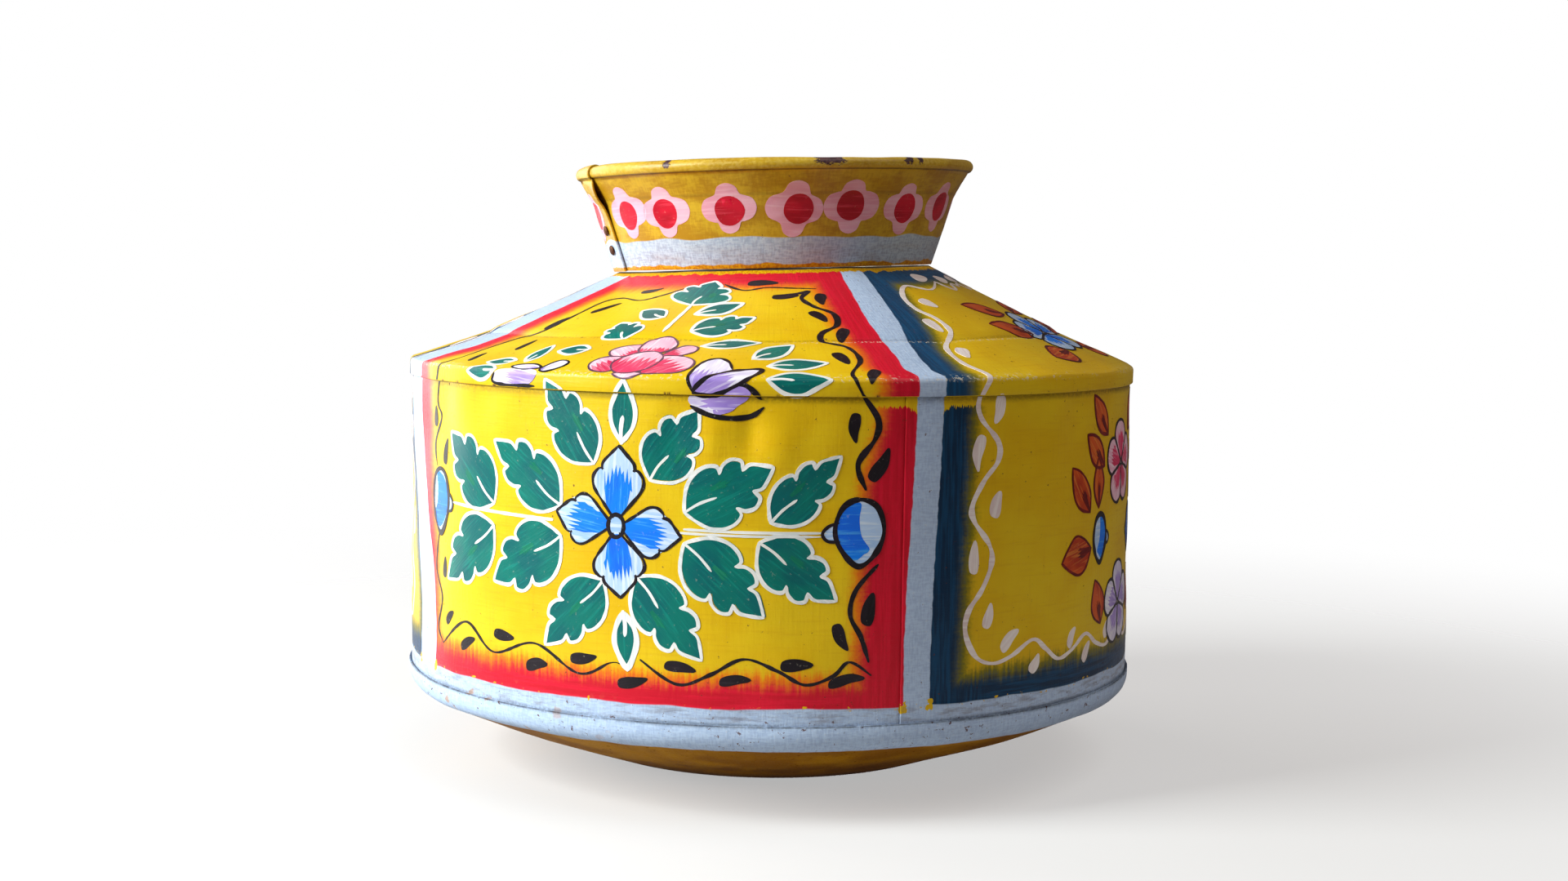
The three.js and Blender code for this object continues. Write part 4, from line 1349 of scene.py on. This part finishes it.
MAROONS = (shade(112, 16, 14), shade(84, 10, 12), shade(160, 40, 24))
CREAMS = (shade(242, 230, 224), shade(228, 210, 206), shade(252, 246, 240))
BLACKS = (shade(24, 20, 24), shade(34, 26, 34), shade(62, 54, 62))
PURPLES = (shade(100, 66, 88), shade(84, 54, 78), shade(140, 104, 124))
NECK_PINKS = (shade(244, 186, 208), shade(232, 162, 184), shade(252, 214, 226))
CRIMSONS = (shade(210, 18, 50), shade(176, 8, 36), shade(230, 70, 92))
# Each film's three tones, how strong its streaks are, and the noise at which they start.
PAINTS = [
    (vine_black, BLACKS, 0.4, 0.55),
    (vine_cream, CREAMS, 0.6, 0.45),
    (leaf_green, GREENS, 0.4, 0.52),
    (leaf_light, WET_GREENS, 0.5, 0.5),
    (leaf_orange, ORANGES, 0.5, 0.5),
    (leaf_maroon, MAROONS, 0.5, 0.5),
    (white_line, CHALK, 0.6, 0.45),
    (petal_pale, PALES, 0.7, 0.45),
    (petal_blue, BLUES, 0.45, 0.52),
    (petal_pink, PINKS, 0.7, 0.48),
    (petal_rose, ROSES, 0.55, 0.5),
    (petal_white, WHITES, 0.7, 0.45),
    (petal_lilac, LILACS, 0.6, 0.5),
    (ink, BLACKS, 0.4, 0.56),
    (soft_ink, PURPLES, 0.5, 0.5),
    (neck_pink, NECK_PINKS, 0.35, 0.48),
    (neck_crimson, CRIMSONS, 0.5, 0.52),
]
for film, tones, streak, lean in PAINTS:
    film.make(brush_enamel(film.name + "_enamel", tones, streak, lean))

# ------------------------------------------------------------------ camera, light and floor


def camera():
    """A 48.5 mm view from just under the mouth's height, turned a little off level."""
    distance, height = 893.8, 203.4  # millimetres
    down, roll, yaw = 0.08358, 0.0136, 0.00597  # radians
    forward = Vector((math.sin(yaw) * math.cos(down), math.cos(yaw) * math.cos(down), -math.sin(down)))
    right = Vector((math.cos(yaw), -math.sin(yaw), 0))
    up = right.cross(forward)
    right, up = right * math.cos(roll) + up * math.sin(roll), up * math.cos(roll) - right * math.sin(roll)
    turn = Matrix.Rotation(math.radians(CAMERA_AZIMUTH), 4, "Z")
    axes = Matrix((right, up, -forward)).transposed().to_4x4()
    lens = bpy.data.cameras.new("camera")
    lens.lens, lens.sensor_width, lens.clip_start = 48.54, 36, 0.05
    made = bpy.data.objects.new("camera", lens)
    made.matrix_world = turn @ Matrix.Translation(Vector((0, -distance, height)) * MM) @ axes
    bpy.context.scene.collection.objects.link(made)
    bpy.context.scene.camera = made


def soft_light(name, azimuth, height, distance, size, power, colour=(1, 1, 1)):
    """A square softbox that faces the pot. Azimuth 0 stands in front, at -Y."""
    lamp = bpy.data.lights.new(name, "AREA")
    lamp.size, lamp.energy, lamp.color = size, power, colour
    made = bpy.data.objects.new(name, lamp)
    a = math.radians(azimuth)
    made.location = (distance * math.sin(a), -distance * math.cos(a), height)
    aim = Vector((0, 0, 0.13)) - made.location
    made.rotation_euler = aim.to_track_quat("-Z", "Y").to_euler()
    bpy.context.scene.collection.objects.link(made)


def studio():
    """Three softboxes, a pale room, and a pale floor that fades out and catches a soft shadow."""
    camera()
    soft_light("key", CAMERA_AZIMUTH - 68, 0.8, 1.5, 0.8, 46, (0.96, 1, 1))
    soft_light("rim", CAMERA_AZIMUTH - 128, 0.45, 1.5, 1.3, 18)
    soft_light("top", CAMERA_AZIMUTH + 60, 1.7, 1.1, 1.4, 11, (1, 0.97, 0.92))
    world = bpy.data.worlds.new("pale_room")
    world.use_nodes = True
    tree = world.node_tree
    air = tree.nodes["Background"]
    air.inputs[0].default_value, air.inputs[1].default_value = (1, 0.77, 0.75, 1), 0.105
    seen = tree.nodes.new("ShaderNodeBackground")
    seen.inputs[0].default_value, seen.inputs[1].default_value = (1, 1, 1, 1), 1.0
    ray, both = tree.nodes.new("ShaderNodeLightPath"), tree.nodes.new("ShaderNodeMixShader")
    tree.links.new(ray.outputs["Is Camera Ray"], both.inputs[0])
    tree.links.new(air.outputs[0], both.inputs[1])
    tree.links.new(seen.outputs[0], both.inputs[2])
    tree.links.new(both.outputs[0], tree.nodes["World Output"].inputs[0])
    bpy.context.scene.world = world
    bpy.context.scene.view_settings.view_transform = "Standard"

    wide, sunk = 4000, 0.4
    f = Finish("pale_floor")
    cloud = f.noise(f.x * 0.004, f.y * 0.004)
    floor_paint = f.finish(f.mix(cloud, shade(232, 232, 230), shade(238, 238, 237)), 0.7, cloud, 0.1)
    away = (f.x * f.x + f.y * f.y).op("SQRT")
    f.feed(f.shader.inputs["Alpha"], away.rise(800, 230) * 0.55)
    mesh = bpy.data.meshes.new("floor")
    corners = [Vector((x * wide, y * wide, -sunk)) * MM for x, y in ((-1, -1), (1, -1), (1, 1), (-1, 1))]
    mesh.from_pydata(corners, [], [(0, 1, 2, 3)])
    mesh.materials.append(floor_paint)
    floor = bpy.data.objects.new("floor", mesh)
    bpy.context.scene.collection.objects.link(floor)


studio()
